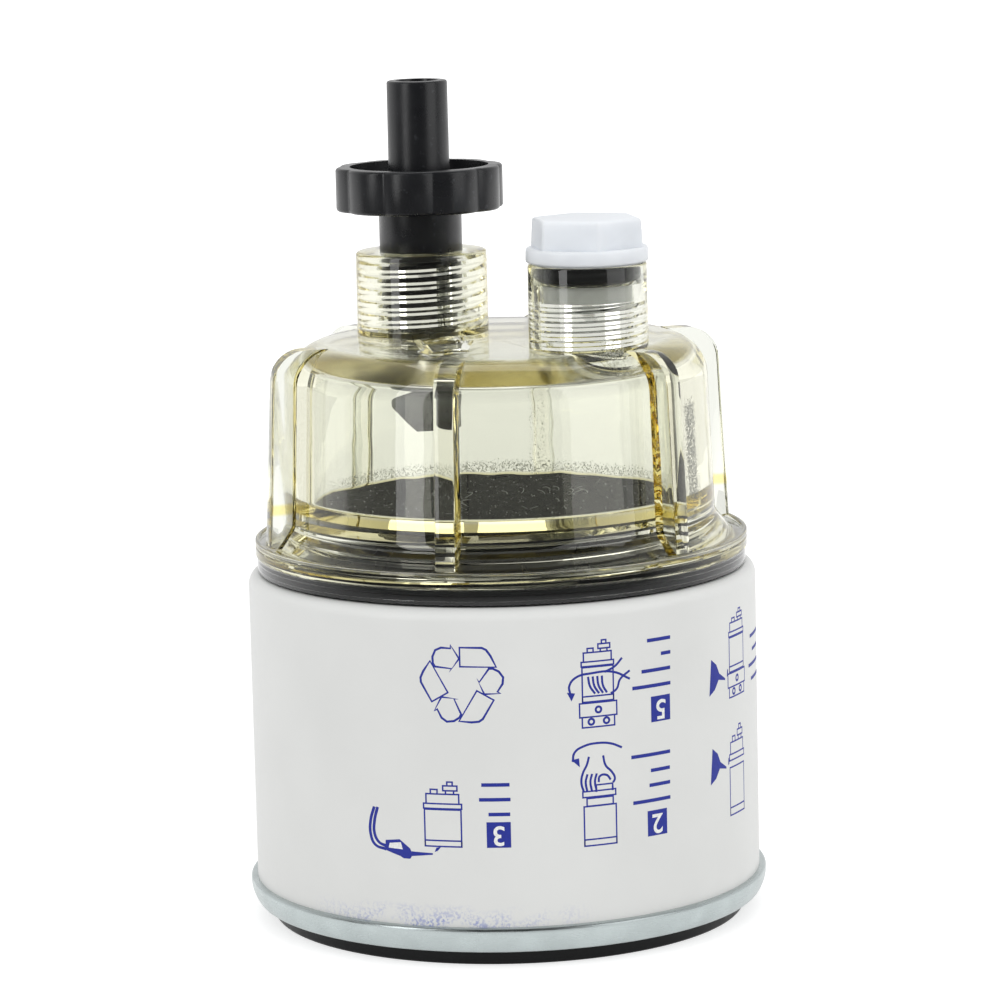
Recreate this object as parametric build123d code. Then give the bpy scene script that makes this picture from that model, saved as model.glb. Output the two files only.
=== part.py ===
from build123d import *
import math
import os

# Spin-on fuel water separator, standing on its mounting gasket with the clear bowl on top.
# All sizes are millimetres. The can's axis is Z and the gasket's sealing face lies on z = 0.

os.makedirs("parts", exist_ok=True)

# Mounting gasket and the steel lid that holds it
GASKET_EDGE = 2.6       # how far the rubber gasket lies inside the can's edge
GASKET_W = 4.6          # radial width of the gasket
GASKET_H = 5.0          # height of the gasket
GASKET_FIT = 0.1        # clearance round the gasket in its channel
LID_T = 0.6             # sheet thickness of the lid
RIM_Z = 2.5             # height of the rim's lower face over the sealing face
RIM_H = 4.1             # height of the rolled rim
RIM_FOOT_IN = 0.15      # how far inside the can's edge the rim turns under
RIM_BULGE = 0.5         # how far the roll stands out past the folded can edge
LID_HOLE_OUT = 3.1      # how far the lid's opening clears the inlet holes

# Threaded plate behind the lid
PLATE_T = 4.0           # plate thickness
PLATE_FIT = 0.25        # clearance between the plate and the gasket channel
STUD_R = 9.2            # radius of the threaded centre hole, at the thread crests
HUB_WALL = 3.3          # wall of the drawn hub round the thread
HUB_OVER = 2.0          # how far the hub reaches past the lower end cap
INLET_R = 3.2           # radius of an inlet hole
INLET_COUNT = 8         # number of inlet holes
INLET_LAND = 3.5        # metal between the hub and an inlet hole
INLET_GAP = 4.5         # flow gap between the plate and the lower end cap

# Drawn steel can
CAN_R = 40.5            # outer radius of the can
CAN_T = 0.8             # wall of the can
CAN_TOP = 55.95         # height of the flat end that the bowl seals on
CAN_SHOULDER = 2.0      # outer radius of the can's shoulder
CURL_W = 0.55           # reach of the can's folded edge inside the rim
MOUTH_GAP = 0.5         # clearance between the neck and the can's mouth

# Filter element
ELEMENT_GAP = 3.5       # flow gap between the end caps and the can
TUBE_ROOM = 2.1         # gap between the grommet and the centre tube
PLEAT_COUNT = 32        # number of pleats
PLEAT_W = 2.6           # width of one pleat
PAPER_T = 0.6           # thickness of the pleated paper
CAP_T = 0.8             # sheet thickness of an end cap
CAP_RIM_H = 3.0         # height of an end cap's turned rim
CAP_FIT = 0.2           # clearance round the pleats inside the caps
TUBE_T = 0.6            # wall of the perforated centre tube
TUBE_FIT = 0.3          # clearance between the tube and the pleats
TUBE_HOLE_R = 2.0       # radius of a hole in the centre tube
TUBE_ROWS = 4           # rows of holes along the centre tube
TUBE_HOLES = 6          # holes round one row
CLIP_T = 0.4            # sheet thickness of the paper's seam clip
CLIP_D = 6.0            # depth of the clip along the pleat
GROMMET_W = 2.0         # radial width of the rubber grommet
GROMMET_H = 1.5         # thickness of the grommet's flange under the cap
DISH_R = 11.0           # radius of the dish pressed in the upper cap
DISH_D = 1.2            # depth of that dish

# Leaf spring over the element
SPRING_H = 5.45         # height of the spring between the element and the neck
LEAF_T = 0.8            # sheet thickness of the spring
LEAF_W = 10.0           # width of one finger
LEAF_COUNT = 4          # number of fingers
LEAF_RING_R = 22.0      # outer radius of the spring's ring
LEAF_RING_W = 6.0       # radial width of the ring

# Threaded neck between the can and the bowl
NECK_IN = 8.9           # how far the neck's thread lies inside the can's edge
NECK_WALL = 3.0         # wall of the neck
NECK_UP = 11.65         # height of the neck's end over the can's flat end
NECK_PLATE_T = 2.0      # thickness of the neck's end plate
NECK_CHAMFER = 1.7      # lead-in chamfer of the neck
NECK_FLANGE_T = 3.0     # thickness of the flange inside the can
NECK_FLANGE_GAP = 0.8   # clearance between that flange and the can wall
NECK_GASKET_T = 1.5     # thickness of the flat gasket over the flange
NECK_GASKET_W = 4.6     # radial width of the flat gasket
PASSAGE_R = 1.5         # radius of a water passage
PASSAGE_COUNT = 12      # number of water passages
PASSAGE_LAND = 0.6      # width of the end plate outside a passage

# Seal between the can and the bowl
SEAL_IN = 0.75          # how far the bowl seal lies inside the flange's edge
SEAL_W = 2.9            # radial width of the bowl seal
SEAL_H = 2.5            # height of the bowl seal
SEAL_FIT = 0.05         # axial clearance at the seal's faces
SEAL_SIDE = 0.2         # side clearance in the seal's groove

# Clear bowl
BOWL_GAP = 0.3          # gap between the can's end and the bowl's flange
FLANGE_IN = 1.25        # how far the flange's upper band lies inside the can's edge
FLANGE_STEP = 0.25      # how far the lower band sits back
FLANGE_H = 4.95         # height of the flange with its lip
LIP_W = 0.65            # width of the flange's raised lip
LIP_H = 0.6             # height of that lip over the flange's face
SKIRT_IN = 2.35         # how far the skirt's foot lies inside the flange's edge
SKIRT_H = 3.7           # height of the skirt's slope
THREAD_WALL = 2.2       # thickness of the bowl round its thread
WALL_T = 4.5            # thickness of the bowl wall over the thread
WALL_DRAFT = 1.05       # how much the wall draws in up to the end
BOWL_H = 36.05          # height of the bowl over its flange's lower face
END_T = 4.6             # thickness of the bowl's end
CORNER_R = 6.0          # outer radius between the wall and the end
CORNER_IN_R = 0.6       # inner radius between the wall and the end
THREAD_GAP = 0.4        # radial gap between the bowl's bore and the neck
LEDGE_GAP = 0.3         # axial gap between the neck's end and the bowl's ledge
LEDGE_DROP = 1.2        # how far the ledge slopes down to the thread's bore
RIB_COUNT = 6           # number of ribs on the bowl
RIB_T = 3.2             # thickness of a rib
RIB_TIP_IN = 0.95       # how far a rib's foot lies inside the flange's edge
RIB_TIP_H = 0.7         # height of that foot over the flange's face
RIB_DRAFT = 1.65        # how much a rib's outer edge draws in up to the end
RIB_CORNER = 5.0        # radius of a rib's upper corner
RIB_ANGLE = 257.0       # angle of the first rib
RIB_RUN = 1.0           # how far a rib runs in over the bowl's rounded corner

# Drain boss and drain valve
DRAIN_IN = 18.1         # how far the drain lies inside the bowl's wall
DRAIN_ANGLE = 137.0     # angle of the drain
DRAIN_BOSS_R = 10.6     # outer radius of the drain boss
DRAIN_BOSS_H = 13.1     # height of the drain boss
STEM_R = 6.5            # radius of the valve's stem over its thread
STEM_H = 8.2            # length of the stem's thread
STEM_GAP = 0.3          # clearance round the stem, the collar and the nose
COLLAR_R = 6.65         # radius of the collar under the handwheel
COLLAR_IN = 1.2         # how deep the collar sits in the boss
NOSE_R = 5.65           # radius of the nose below the thread
NOSE_IN = 14.3          # how far the nose reaches down from the bowl's outer face
CHAMBER_H = 0.5         # height of the nose's bore over the bowl's outer face
DRAIN_RING_T = 1.2      # section of the drain's ring
DRAIN_RING_Z = 1.4      # depth of that ring below the bowl's outer face
WHEEL_UP = 6.6          # height of the handwheel over the boss
WHEEL_R = 13.5          # outer radius of the handwheel
WHEEL_H = 7.0           # height of the handwheel
WHEEL_WALL = 1.7        # wall of the handwheel's cup
WHEEL_FLOOR = 2.2       # floor of the handwheel's cup
WHEEL_EDGE = 0.7        # rounding of the handwheel's edges
LOBE_R = 6.5            # radius of one lobe of the handwheel
LOBE_COUNT = 10         # number of lobes
LOBE_ANGLE = 299.0      # angle of the first lobe
SPOUT_R = 4.85          # outer radius of the hose spout
SPOUT_BORE_R = 3.3      # bore of the hose spout
SPOUT_UP = 13.6         # height of the spout over the handwheel
WINDOW_R = 1.8          # radius of the side windows in the nose

# Sensor port and its plug
PORT_IN = 14.6          # how far the port lies inside the bowl's wall
PORT_ANGLE = 317.0      # angle of the port
PORT_BOSS_R = 9.35      # outer radius of the port boss
PORT_BOSS_H = 13.0      # height of the port boss
PLUG_R = 6.9            # radius of the plug's shank over its thread
PLUG_GAP = 0.3          # clearance round the shank and under the flange
PLUG_SHANK_H = 7.6      # length of the shank's thread
PLUG_NECK_R = 5.75      # radius of the undercut that holds the ring
PLUG_RING_T = 2.7       # section of the plug's ring
PLUG_RING_IN = 3.0      # depth of the ring's seat in the boss
PLUG_FLANGE_R = 9.6     # radius of the plug's flange
PLUG_FLANGE_T = 2.3     # thickness of that flange
HEX_AF = 16.0           # width across the flats of the plug's head
HEX_H = 4.5             # height of the head
HEX_DRAFT = 3.0         # draft of the head in degrees
HEX_ANGLE = 10.5        # turn of the head in degrees
PLUG_BORE_R = 4.2       # radius of the plug's blind bore
RING_FIT = 0.05         # clearance round a ring in its groove

# Heights and radii that follow from the sizes above
CAN_IN_R = CAN_R - CAN_T
GASKET_R = CAN_R - GASKET_EDGE
GASKET_IN_R = GASKET_R - GASKET_W
RIM_FOOT_R = CAN_R - RIM_FOOT_IN
CHANNEL_OUT = GASKET_R + GASKET_FIT
CHANNEL_IN = GASKET_IN_R - GASKET_FIT
LID_TOP = GASKET_H + LID_T
CURL_R = CAN_R + CURL_W
PLATE_R = CHANNEL_IN - LID_T - PLATE_FIT
PLATE_Z = RIM_Z + LID_T
PLATE_TOP = PLATE_Z + PLATE_T
HUB_R = STUD_R + HUB_WALL
INLET_CIRCLE = HUB_R + INLET_LAND + INLET_R
LID_HOLE_R = INLET_CIRCLE + INLET_R + LID_HOLE_OUT
NECK_FLANGE_TOP = CAN_TOP - CAN_T - NECK_GASKET_T
NECK_FLANGE_Z = NECK_FLANGE_TOP - NECK_FLANGE_T
NECK_FLANGE_R = CAN_IN_R - NECK_FLANGE_GAP
NECK_R = CAN_R - NECK_IN
NECK_IN_R = NECK_R - NECK_WALL
NECK_TOP = CAN_TOP + NECK_UP
PASSAGE_CIRCLE = NECK_IN_R - PASSAGE_LAND - PASSAGE_R
CAP_Z = PLATE_TOP + INLET_GAP
CAP_TOP = NECK_FLANGE_Z - SPRING_H
PAPER_Z = CAP_Z + CAP_T
PAPER_TOP = CAP_TOP - CAP_T
ELEMENT_H = PAPER_TOP - PAPER_Z
ELEMENT_R = CAN_IN_R - ELEMENT_GAP - CAP_T - CAP_FIT
HUB_TOP = PAPER_Z + HUB_OVER
GROMMET_R = HUB_R + GROMMET_W
TUBE_R = GROMMET_R + TUBE_ROOM + TUBE_T
PLEAT_IN_R = TUBE_R + TUBE_FIT
FLANGE_R = CAN_R - FLANGE_IN
SEAL_R = FLANGE_R - SEAL_IN
SKIRT_R = FLANGE_R - SKIRT_IN
RIB_TIP_R = FLANGE_R - RIB_TIP_IN
RIB_TOP_R = RIB_TIP_R - RIB_DRAFT
FLANGE_Z = CAN_TOP + BOWL_GAP
FLANGE_TOP = FLANGE_Z + FLANGE_H
FLANGE_FACE = FLANGE_TOP - LIP_H
SEAL_Z = CAN_TOP + SEAL_FIT
GROOVE_TOP = SEAL_Z + SEAL_H + SEAL_FIT
GROOVE_OUT = SEAL_R + SEAL_SIDE
GROOVE_IN = SEAL_R - SEAL_W - SEAL_SIDE
SKIRT_TOP = FLANGE_FACE + SKIRT_H
BOWL_TOP = FLANGE_Z + BOWL_H
BORE_R = NECK_R + THREAD_GAP
WALL_R = BORE_R + THREAD_WALL
LEDGE_Z = NECK_TOP + LEDGE_GAP
DRAIN_X_R = WALL_R - DRAIN_IN
PORT_X_R = WALL_R - PORT_IN
DRAIN_TOP = BOWL_TOP + DRAIN_BOSS_H
WHEEL_Z = DRAIN_TOP + WHEEL_UP
WHEEL_TOP = WHEEL_Z + WHEEL_H
SPOUT_TOP = WHEEL_TOP + SPOUT_UP
STEM_TOP = DRAIN_TOP - COLLAR_IN
STEM_Z = STEM_TOP - STEM_H
PORT_TOP = BOWL_TOP + PORT_BOSS_H
PLUG_Z = PORT_TOP + PLUG_GAP
RING_SEAT = PORT_TOP - PLUG_RING_IN


def around(radius, degrees):
    """A place on a circle round the axis, at height zero."""
    turn = math.radians(degrees)
    return Location((radius * math.cos(turn), radius * math.sin(turn), 0))


DRAIN_AT = around(DRAIN_X_R, DRAIN_ANGLE)
PORT_AT = around(PORT_X_R, PORT_ANGLE)


def section(points):
    """A flat face from points given as radius and height."""
    return make_face(Polyline(*points, close=True))


def rounded(face, point, radius):
    """The face with its corner nearest to the point rounded."""
    corner = face.vertices().sort_by_distance((*point, 0))[0]
    return fillet(corner, radius)


def turned(face):
    """A section turned once round the Z axis."""
    return revolve(Plane.XZ * face, Axis.Z)


def rod(radius, bottom, top):
    """A cylinder on the Z axis between two heights."""
    return Pos(0, 0, (bottom + top) / 2) * Cylinder(radius, top - bottom)


def ring(outer, inner, bottom, top):
    """A flat ring on the Z axis between two heights."""
    return rod(outer, bottom, top) - rod(inner, bottom - 1, top + 1)


def wall_r(height):
    """Outer radius of the bowl's drafted wall at a height."""
    share = (height - SKIRT_TOP) / (BOWL_TOP - SKIRT_TOP)
    return WALL_R - WALL_DRAFT * share


# The can and what closes it

def make_mounting_gasket():
    face = section([
        (GASKET_IN_R, 0), (GASKET_R, 0), (GASKET_R, GASKET_H), (GASKET_IN_R, GASKET_H),
    ])
    for radius in (GASKET_IN_R, GASKET_R):
        face = rounded(face, (radius, 0), GASKET_W / 10)
    return turned(face)


def make_seaming_lid():
    rim_top = RIM_Z + RIM_H
    bulge_r = CURL_R + RIM_BULGE
    bulge_low = RIM_Z + RIM_H / 2
    under = RIM_Z + LID_T
    outer_wall = CHANNEL_OUT + LID_T
    inner_wall = CHANNEL_IN - LID_T
    fold_low = RIM_Z + RIM_H * 0.32
    face = section([
        (LID_HOLE_R, RIM_Z), (CHANNEL_IN, RIM_Z), (CHANNEL_IN, GASKET_H),
        (CHANNEL_OUT, GASKET_H), (CHANNEL_OUT, RIM_Z), (RIM_FOOT_R, RIM_Z),
        (bulge_r, bulge_low), (bulge_r, rim_top), (CAN_R, rim_top),
        (CAN_R, rim_top - LID_T), (CURL_R, rim_top - LID_T), (CURL_R, fold_low),
        (RIM_FOOT_R - LID_T / 2, under), (outer_wall, under), (outer_wall, LID_TOP),
        (inner_wall, LID_TOP), (inner_wall, under), (LID_HOLE_R, under),
    ])
    face = rounded(face, (bulge_r, rim_top), RIM_BULGE * 0.9)
    face = rounded(face, (bulge_r, bulge_low), RIM_H / 2)
    face = rounded(face, (RIM_FOOT_R, RIM_Z), LID_T)
    for radius in (outer_wall, inner_wall):
        face = rounded(face, (radius, LID_TOP), LID_T)
    return turned(face)


def make_nut_plate():
    plate = rod(PLATE_R, PLATE_Z, PLATE_TOP) + rod(HUB_R, PLATE_Z, HUB_TOP)
    plate -= rod(STUD_R, PLATE_Z - 1, HUB_TOP + 1)
    hole = rod(INLET_R, PLATE_Z - 1, PLATE_TOP + 1)
    for place in PolarLocations(INLET_CIRCLE, INLET_COUNT):
        plate -= place * hole
    return plate


def make_can_shell():
    curl_z = RIM_Z + RIM_H * 0.4
    outer = [
        (CAN_IN_R, curl_z), (CURL_R, curl_z), (CURL_R, curl_z + CAN_T), (CAN_R, curl_z + CAN_T),
        (CAN_R, CAN_TOP), (BORE_R + MOUTH_GAP - THREAD_GAP, CAN_TOP),
        (BORE_R + MOUTH_GAP - THREAD_GAP, CAN_TOP - CAN_T), (CAN_IN_R, CAN_TOP - CAN_T),
    ]
    face = section(outer)
    face = rounded(face, (CAN_R, CAN_TOP), CAN_SHOULDER)
    face = rounded(face, (CAN_IN_R, CAN_TOP - CAN_T), CAN_SHOULDER - CAN_T)
    return turned(face)


# The filter element

def make_end_cap(bore, dish):
    """A pressed cap with its rim turned over the pleats, seen with its flat face down."""
    rim_in = ELEMENT_R + CAP_FIT
    points = [
        (bore, 0), (rim_in + CAP_T, 0), (rim_in + CAP_T, CAP_RIM_H), (rim_in, CAP_RIM_H),
        (rim_in, CAP_T), (bore, CAP_T),
    ]
    if dish:
        points = points[1:5] + [
            (DISH_R + CAP_T, CAP_T), (DISH_R, CAP_T + DISH_D), (0, CAP_T + DISH_D),
            (0, DISH_D), (DISH_R, DISH_D), (DISH_R + CAP_T, 0),
        ]
    face = rounded(section(points), (rim_in + CAP_T, 0), CAP_T)
    return turned(face)


def make_element_cap_lower():
    return Pos(0, 0, CAP_Z) * make_end_cap(GROMMET_R + RING_FIT, False)


def make_element_cap_upper():
    return Pos(0, 0, CAP_TOP) * Rot(X=180) * make_end_cap(0, True)


def pleat_outline(tip_r, root_r, tip_half, root_half):
    """Closed outline through the tips and roots of all pleats."""
    points = []
    for index in range(PLEAT_COUNT):
        turn = 2 * math.pi * index / PLEAT_COUNT
        along = Vector(math.cos(turn), math.sin(turn))
        across = Vector(-math.sin(turn), math.cos(turn))
        points.append(along * root_r - across * root_half)
        points.append(along * tip_r - across * tip_half)
        points.append(along * tip_r + across * tip_half)
        points.append(along * root_r + across * root_half)
    return make_face(Polyline(*points, close=True))


def make_pleated_media():
    half = PLEAT_W / 2
    outside = pleat_outline(ELEMENT_R, PLEAT_IN_R + PAPER_T, half, half)
    inside = pleat_outline(ELEMENT_R - PAPER_T, PLEAT_IN_R, half - PAPER_T, half - PAPER_T)
    return extrude(Pos(0, 0, PAPER_Z) * (outside - inside), ELEMENT_H)


def make_centre_tube():
    tube = ring(TUBE_R, TUBE_R - TUBE_T, PAPER_Z, PAPER_TOP)
    step = ELEMENT_H / TUBE_ROWS
    drill = Rot(Y=90) * Cylinder(TUBE_HOLE_R, 2 * TUBE_R + 2)
    for row in range(TUBE_ROWS):
        height = PAPER_Z + step * (row + 0.5)
        for index in range(TUBE_HOLES // 2):
            turn = 360 / TUBE_HOLES * (index + 0.5 * (row % 2))
            tube -= Pos(0, 0, height) * Rot(Z=turn) * drill
    return tube


def make_media_seam_clip():
    half = PLEAT_W / 2 + RING_FIT
    inner = Pos(ELEMENT_R + RING_FIT - CLIP_D / 2, 0) * Rectangle(CLIP_D, 2 * half)
    outer = Pos(ELEMENT_R + RING_FIT + (CLIP_T - CLIP_D) / 2, 0)
    outer = outer * Rectangle(CLIP_D + CLIP_T, 2 * (half + CLIP_T))
    low = PAPER_Z + CAP_RIM_H
    return extrude(Pos(0, 0, low) * (outer - inner), ELEMENT_H - 2 * CAP_RIM_H)


def make_grommet_seal():
    flange = ring(GROMMET_R + GROMMET_W, HUB_R + RING_FIT, CAP_Z - GROMMET_H, CAP_Z)
    collar = ring(GROMMET_R, HUB_R + RING_FIT, CAP_Z - GROMMET_H, PAPER_Z + CAP_T)
    return flange + collar


def make_support_spring():
    pad_z = NECK_FLANGE_Z - LEAF_T
    pad_r = NECK_R + LEAF_T
    ring_in = LEAF_RING_R - LEAF_RING_W
    finger = section([
        (LEAF_RING_R - LEAF_RING_W / 2, CAP_TOP), (LEAF_RING_R + LEAF_T, CAP_TOP),
        (pad_r, pad_z), (pad_r + LEAF_W / 3, pad_z), (pad_r + LEAF_W / 3, NECK_FLANGE_Z),
        (pad_r - LEAF_T, NECK_FLANGE_Z), (LEAF_RING_R, CAP_TOP + LEAF_T),
        (LEAF_RING_R - LEAF_RING_W / 2, CAP_TOP + LEAF_T),
    ])
    leaf = extrude(Plane.XZ * finger, LEAF_W / 2, both=True)
    spring = ring(LEAF_RING_R, ring_in, CAP_TOP, CAP_TOP + LEAF_T)
    for index in range(LEAF_COUNT):
        spring += Rot(Z=360 / LEAF_COUNT * index) * leaf
    return spring


# The neck and the bowl's seal

def make_thread_neck():
    face = section([
        (0, NECK_TOP - NECK_PLATE_T), (NECK_IN_R, NECK_TOP - NECK_PLATE_T),
        (NECK_IN_R, NECK_FLANGE_Z), (NECK_FLANGE_R, NECK_FLANGE_Z),
        (NECK_FLANGE_R, NECK_FLANGE_TOP), (NECK_R, NECK_FLANGE_TOP),
        (NECK_R, NECK_TOP - NECK_CHAMFER), (NECK_R - NECK_CHAMFER, NECK_TOP), (0, NECK_TOP),
    ])
    neck = turned(face)
    hole = rod(PASSAGE_R, NECK_TOP - NECK_PLATE_T - 1, NECK_TOP + 1)
    for place in PolarLocations(PASSAGE_CIRCLE, PASSAGE_COUNT):
        neck -= place * hole
    return neck


def make_neck_gasket():
    outer = NECK_FLANGE_R - NECK_FLANGE_GAP
    return ring(outer, outer - NECK_GASKET_W, NECK_FLANGE_TOP, CAN_TOP - CAN_T)


def make_bowl_seal():
    return ring(SEAL_R, SEAL_R - SEAL_W, SEAL_Z, SEAL_Z + SEAL_H)


# The clear bowl, moulded in one piece

def bowl_section():
    """Half section of the bowl: flange, skirt, wall and end, without bosses."""
    step_z = GROOVE_TOP + FLANGE_STEP
    inner_top = BOWL_TOP - END_T
    top_r = wall_r(BOWL_TOP)
    top_in = wall_r(inner_top) - WALL_T
    face = section([
        (GROOVE_OUT, FLANGE_Z), (FLANGE_R - FLANGE_STEP, FLANGE_Z),
        (FLANGE_R - FLANGE_STEP, GROOVE_TOP), (FLANGE_R, step_z), (FLANGE_R, FLANGE_TOP),
        (FLANGE_R - LIP_W, FLANGE_TOP), (FLANGE_R - LIP_W, FLANGE_FACE),
        (SKIRT_R, FLANGE_FACE), (WALL_R, SKIRT_TOP), (top_r, BOWL_TOP), (0, BOWL_TOP),
        (0, inner_top), (top_in, inner_top), (wall_r(LEDGE_Z) - WALL_T, LEDGE_Z),
        (BORE_R, LEDGE_Z - LEDGE_DROP), (BORE_R, FLANGE_Z), (GROOVE_IN, FLANGE_Z),
        (GROOVE_IN, GROOVE_TOP), (GROOVE_OUT, GROOVE_TOP),
    ])
    face = rounded(face, (top_r, BOWL_TOP), CORNER_R)
    face = rounded(face, (top_in, inner_top), CORNER_IN_R)
    return rounded(face, (WALL_R, SKIRT_TOP), LIP_W)


def bowl_rib():
    """One rib, with its foot over the flange and its head flush with the bowl's end."""
    foot_z = FLANGE_FACE + RIB_TIP_H
    core_r = WALL_R - THREAD_WALL / 2
    head_in = wall_r(BOWL_TOP) - CORNER_R + RIB_RUN
    face = section([
        (core_r, SKIRT_TOP - RIB_TIP_H), (SKIRT_R - LIP_W / 2, foot_z - LIP_W / 2),
        (RIB_TIP_R, foot_z), (RIB_TOP_R, BOWL_TOP), (head_in, BOWL_TOP),
        (head_in, BOWL_TOP - END_T / 2), (wall_r(BOWL_TOP) - WALL_T / 2, BOWL_TOP - CORNER_R),
    ])
    face = rounded(face, (RIB_TOP_R, BOWL_TOP), RIB_CORNER)
    return extrude(Plane.XZ * face, RIB_T / 2, both=True)


def drain_bore():
    """The space for the valve: mouth, threaded bore and the nose's bore."""
    mouth = rod(COLLAR_R + STEM_GAP, STEM_TOP - STEM_GAP, DRAIN_TOP + 1)
    thread = rod(STEM_R + STEM_GAP, BOWL_TOP + CHAMBER_H, DRAIN_TOP)
    nose = rod(NOSE_R + STEM_GAP, BOWL_TOP - END_T - 1, DRAIN_TOP)
    return mouth + thread + nose


def port_bore():
    """The space for the plug: the ring's seat and the threaded bore."""
    seat = rod(ring_out_r() + RING_FIT, RING_SEAT, PORT_TOP + 1)
    return seat + rod(PLUG_R + PLUG_GAP, BOWL_TOP - END_T - 1, PORT_TOP)


def ring_out_r():
    """Outer radius of the plug's ring."""
    return PLUG_NECK_R + RING_FIT + PLUG_RING_T


def make_bowl():
    bowl = turned(bowl_section())
    rib = bowl_rib()
    for index in range(RIB_COUNT):
        bowl += Rot(Z=RIB_ANGLE + 360 / RIB_COUNT * index) * rib
    bowl += DRAIN_AT * rod(DRAIN_BOSS_R, BOWL_TOP - END_T / 2, DRAIN_TOP)
    bowl += PORT_AT * rod(PORT_BOSS_R, BOWL_TOP - END_T / 2, PORT_TOP)
    bowl -= DRAIN_AT * drain_bore()
    return bowl - PORT_AT * port_bore()


# The drain valve, one moulding that is spout, handwheel, collar, stem and nose

def wheel_lobes():
    """Outline of the handwheel: equal lobes that meet in narrow valleys."""
    outline = Circle(WHEEL_R - LOBE_R)
    for place in PolarLocations(WHEEL_R - LOBE_R, LOBE_COUNT, start_angle=LOBE_ANGLE):
        outline += place * Circle(LOBE_R)
    return outline


def make_wheel():
    prism = extrude(Pos(0, 0, WHEEL_Z) * wheel_lobes(), WHEEL_H)
    face = section([
        (0, WHEEL_Z), (WHEEL_R, WHEEL_Z), (WHEEL_R, WHEEL_TOP), (0, WHEEL_TOP),
    ])
    face = rounded(face, (WHEEL_R, WHEEL_Z), WHEEL_EDGE)
    face = rounded(face, (WHEEL_R, WHEEL_TOP), WHEEL_EDGE)
    valley = LOBE_R * 0.12
    cup_r = WHEEL_R - valley - WHEEL_WALL
    cup = rod(cup_r, WHEEL_Z + WHEEL_FLOOR, WHEEL_TOP + 1)
    return (prism & turned(face)) - cup


def drain_groove():
    """Heights of the groove that holds the drain's ring."""
    middle = BOWL_TOP - DRAIN_RING_Z
    half = DRAIN_RING_T / 2 + RING_FIT
    return middle - half, middle + half


def drain_ring_r():
    """Middle radius of the drain's ring, whose outside seals in the nose's bore."""
    return NOSE_R + STEM_GAP - RING_FIT - DRAIN_RING_T / 2


def make_drain_valve():
    nose_z = BOWL_TOP - NOSE_IN
    body = make_wheel()
    body += rod(COLLAR_R, STEM_TOP, WHEEL_Z + WHEEL_FLOOR / 2)
    body += rod(STEM_R, STEM_Z, STEM_TOP)
    body += rod(NOSE_R, nose_z, STEM_Z)
    spout = chamfer(rod(SPOUT_R, WHEEL_Z, SPOUT_TOP).edges().group_by(Axis.Z)[-1], SPOUT_R / 12)
    body += spout
    low, high = drain_groove()
    groove_r = drain_ring_r() - DRAIN_RING_T / 2 - RING_FIT
    body -= ring(NOSE_R + 1, groove_r, low, high)
    window_z = (high + STEM_Z) / 2
    body -= rod(SPOUT_BORE_R, window_z - WINDOW_R, SPOUT_TOP + 1)
    body -= Pos(0, 0, window_z) * Rot(Y=90) * Cylinder(WINDOW_R, 4 * NOSE_R)
    slope = Pos(-NOSE_R, 0, nose_z) * Rot(Y=40) * Box(2 * NOSE_R, 4 * NOSE_R, NOSE_R)
    return DRAIN_AT * (body - slope)


def make_drain_o_ring():
    return DRAIN_AT * Pos(0, 0, BOWL_TOP - DRAIN_RING_Z) * Torus(drain_ring_r(), DRAIN_RING_T / 2)


# The plug of the sensor port

def make_port_plug():
    flange_top = PLUG_Z + PLUG_FLANGE_T
    neck_z = RING_SEAT - RING_FIT * 3
    ring_top = RING_SEAT + RING_FIT + PLUG_RING_T + RING_FIT
    head = extrude(
        Pos(0, 0, flange_top) * Rot(Z=HEX_ANGLE) * RegularPolygon(HEX_AF / 2, 6, major_radius=False),
        HEX_H, taper=HEX_DRAFT,
    )
    head = fillet(head.edges().group_by(Axis.Z)[-1], PLUG_FLANGE_T / 6)
    disc = rod(PLUG_FLANGE_R, PLUG_Z, flange_top)
    disc = fillet(disc.edges().filter_by(GeomType.CIRCLE), PLUG_FLANGE_T / 6)
    plug = head + disc
    plug += rod(ring_out_r() - RING_FIT * 2, ring_top, PLUG_Z)
    plug += rod(PLUG_NECK_R, neck_z, PLUG_Z)
    plug += rod(PLUG_R, neck_z - PLUG_SHANK_H, neck_z)
    plug -= rod(PLUG_BORE_R, neck_z - PLUG_SHANK_H - 1, PLUG_Z)
    return PORT_AT * plug


def make_plug_o_ring():
    middle = PLUG_NECK_R + RING_FIT + PLUG_RING_T / 2
    height = RING_SEAT + RING_FIT + PLUG_RING_T / 2
    return PORT_AT * Pos(0, 0, height) * Torus(middle, PLUG_RING_T / 2)


PIECES = {
    "mounting_gasket": make_mounting_gasket,
    "seaming_lid": make_seaming_lid,
    "nut_plate": make_nut_plate,
    "can_shell": make_can_shell,
    "element_cap_lower": make_element_cap_lower,
    "element_cap_upper": make_element_cap_upper,
    "pleated_media": make_pleated_media,
    "centre_tube": make_centre_tube,
    "media_seam_clip": make_media_seam_clip,
    "grommet_seal": make_grommet_seal,
    "support_spring": make_support_spring,
    "thread_neck": make_thread_neck,
    "neck_gasket": make_neck_gasket,
    "bowl_seal": make_bowl_seal,
    "bowl": make_bowl,
    "drain_valve": make_drain_valve,
    "drain_o_ring": make_drain_o_ring,
    "port_plug": make_port_plug,
    "plug_o_ring": make_plug_o_ring,
}

for name, make in PIECES.items():
    piece = make()
    export_step(piece, f"parts/{name}.step")
    print(name, round(piece.volume, 1), len(piece.solids()))
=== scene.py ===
import math
import random
from functools import partial
import bmesh
import bpy
from mathutils import Matrix, Vector


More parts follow.
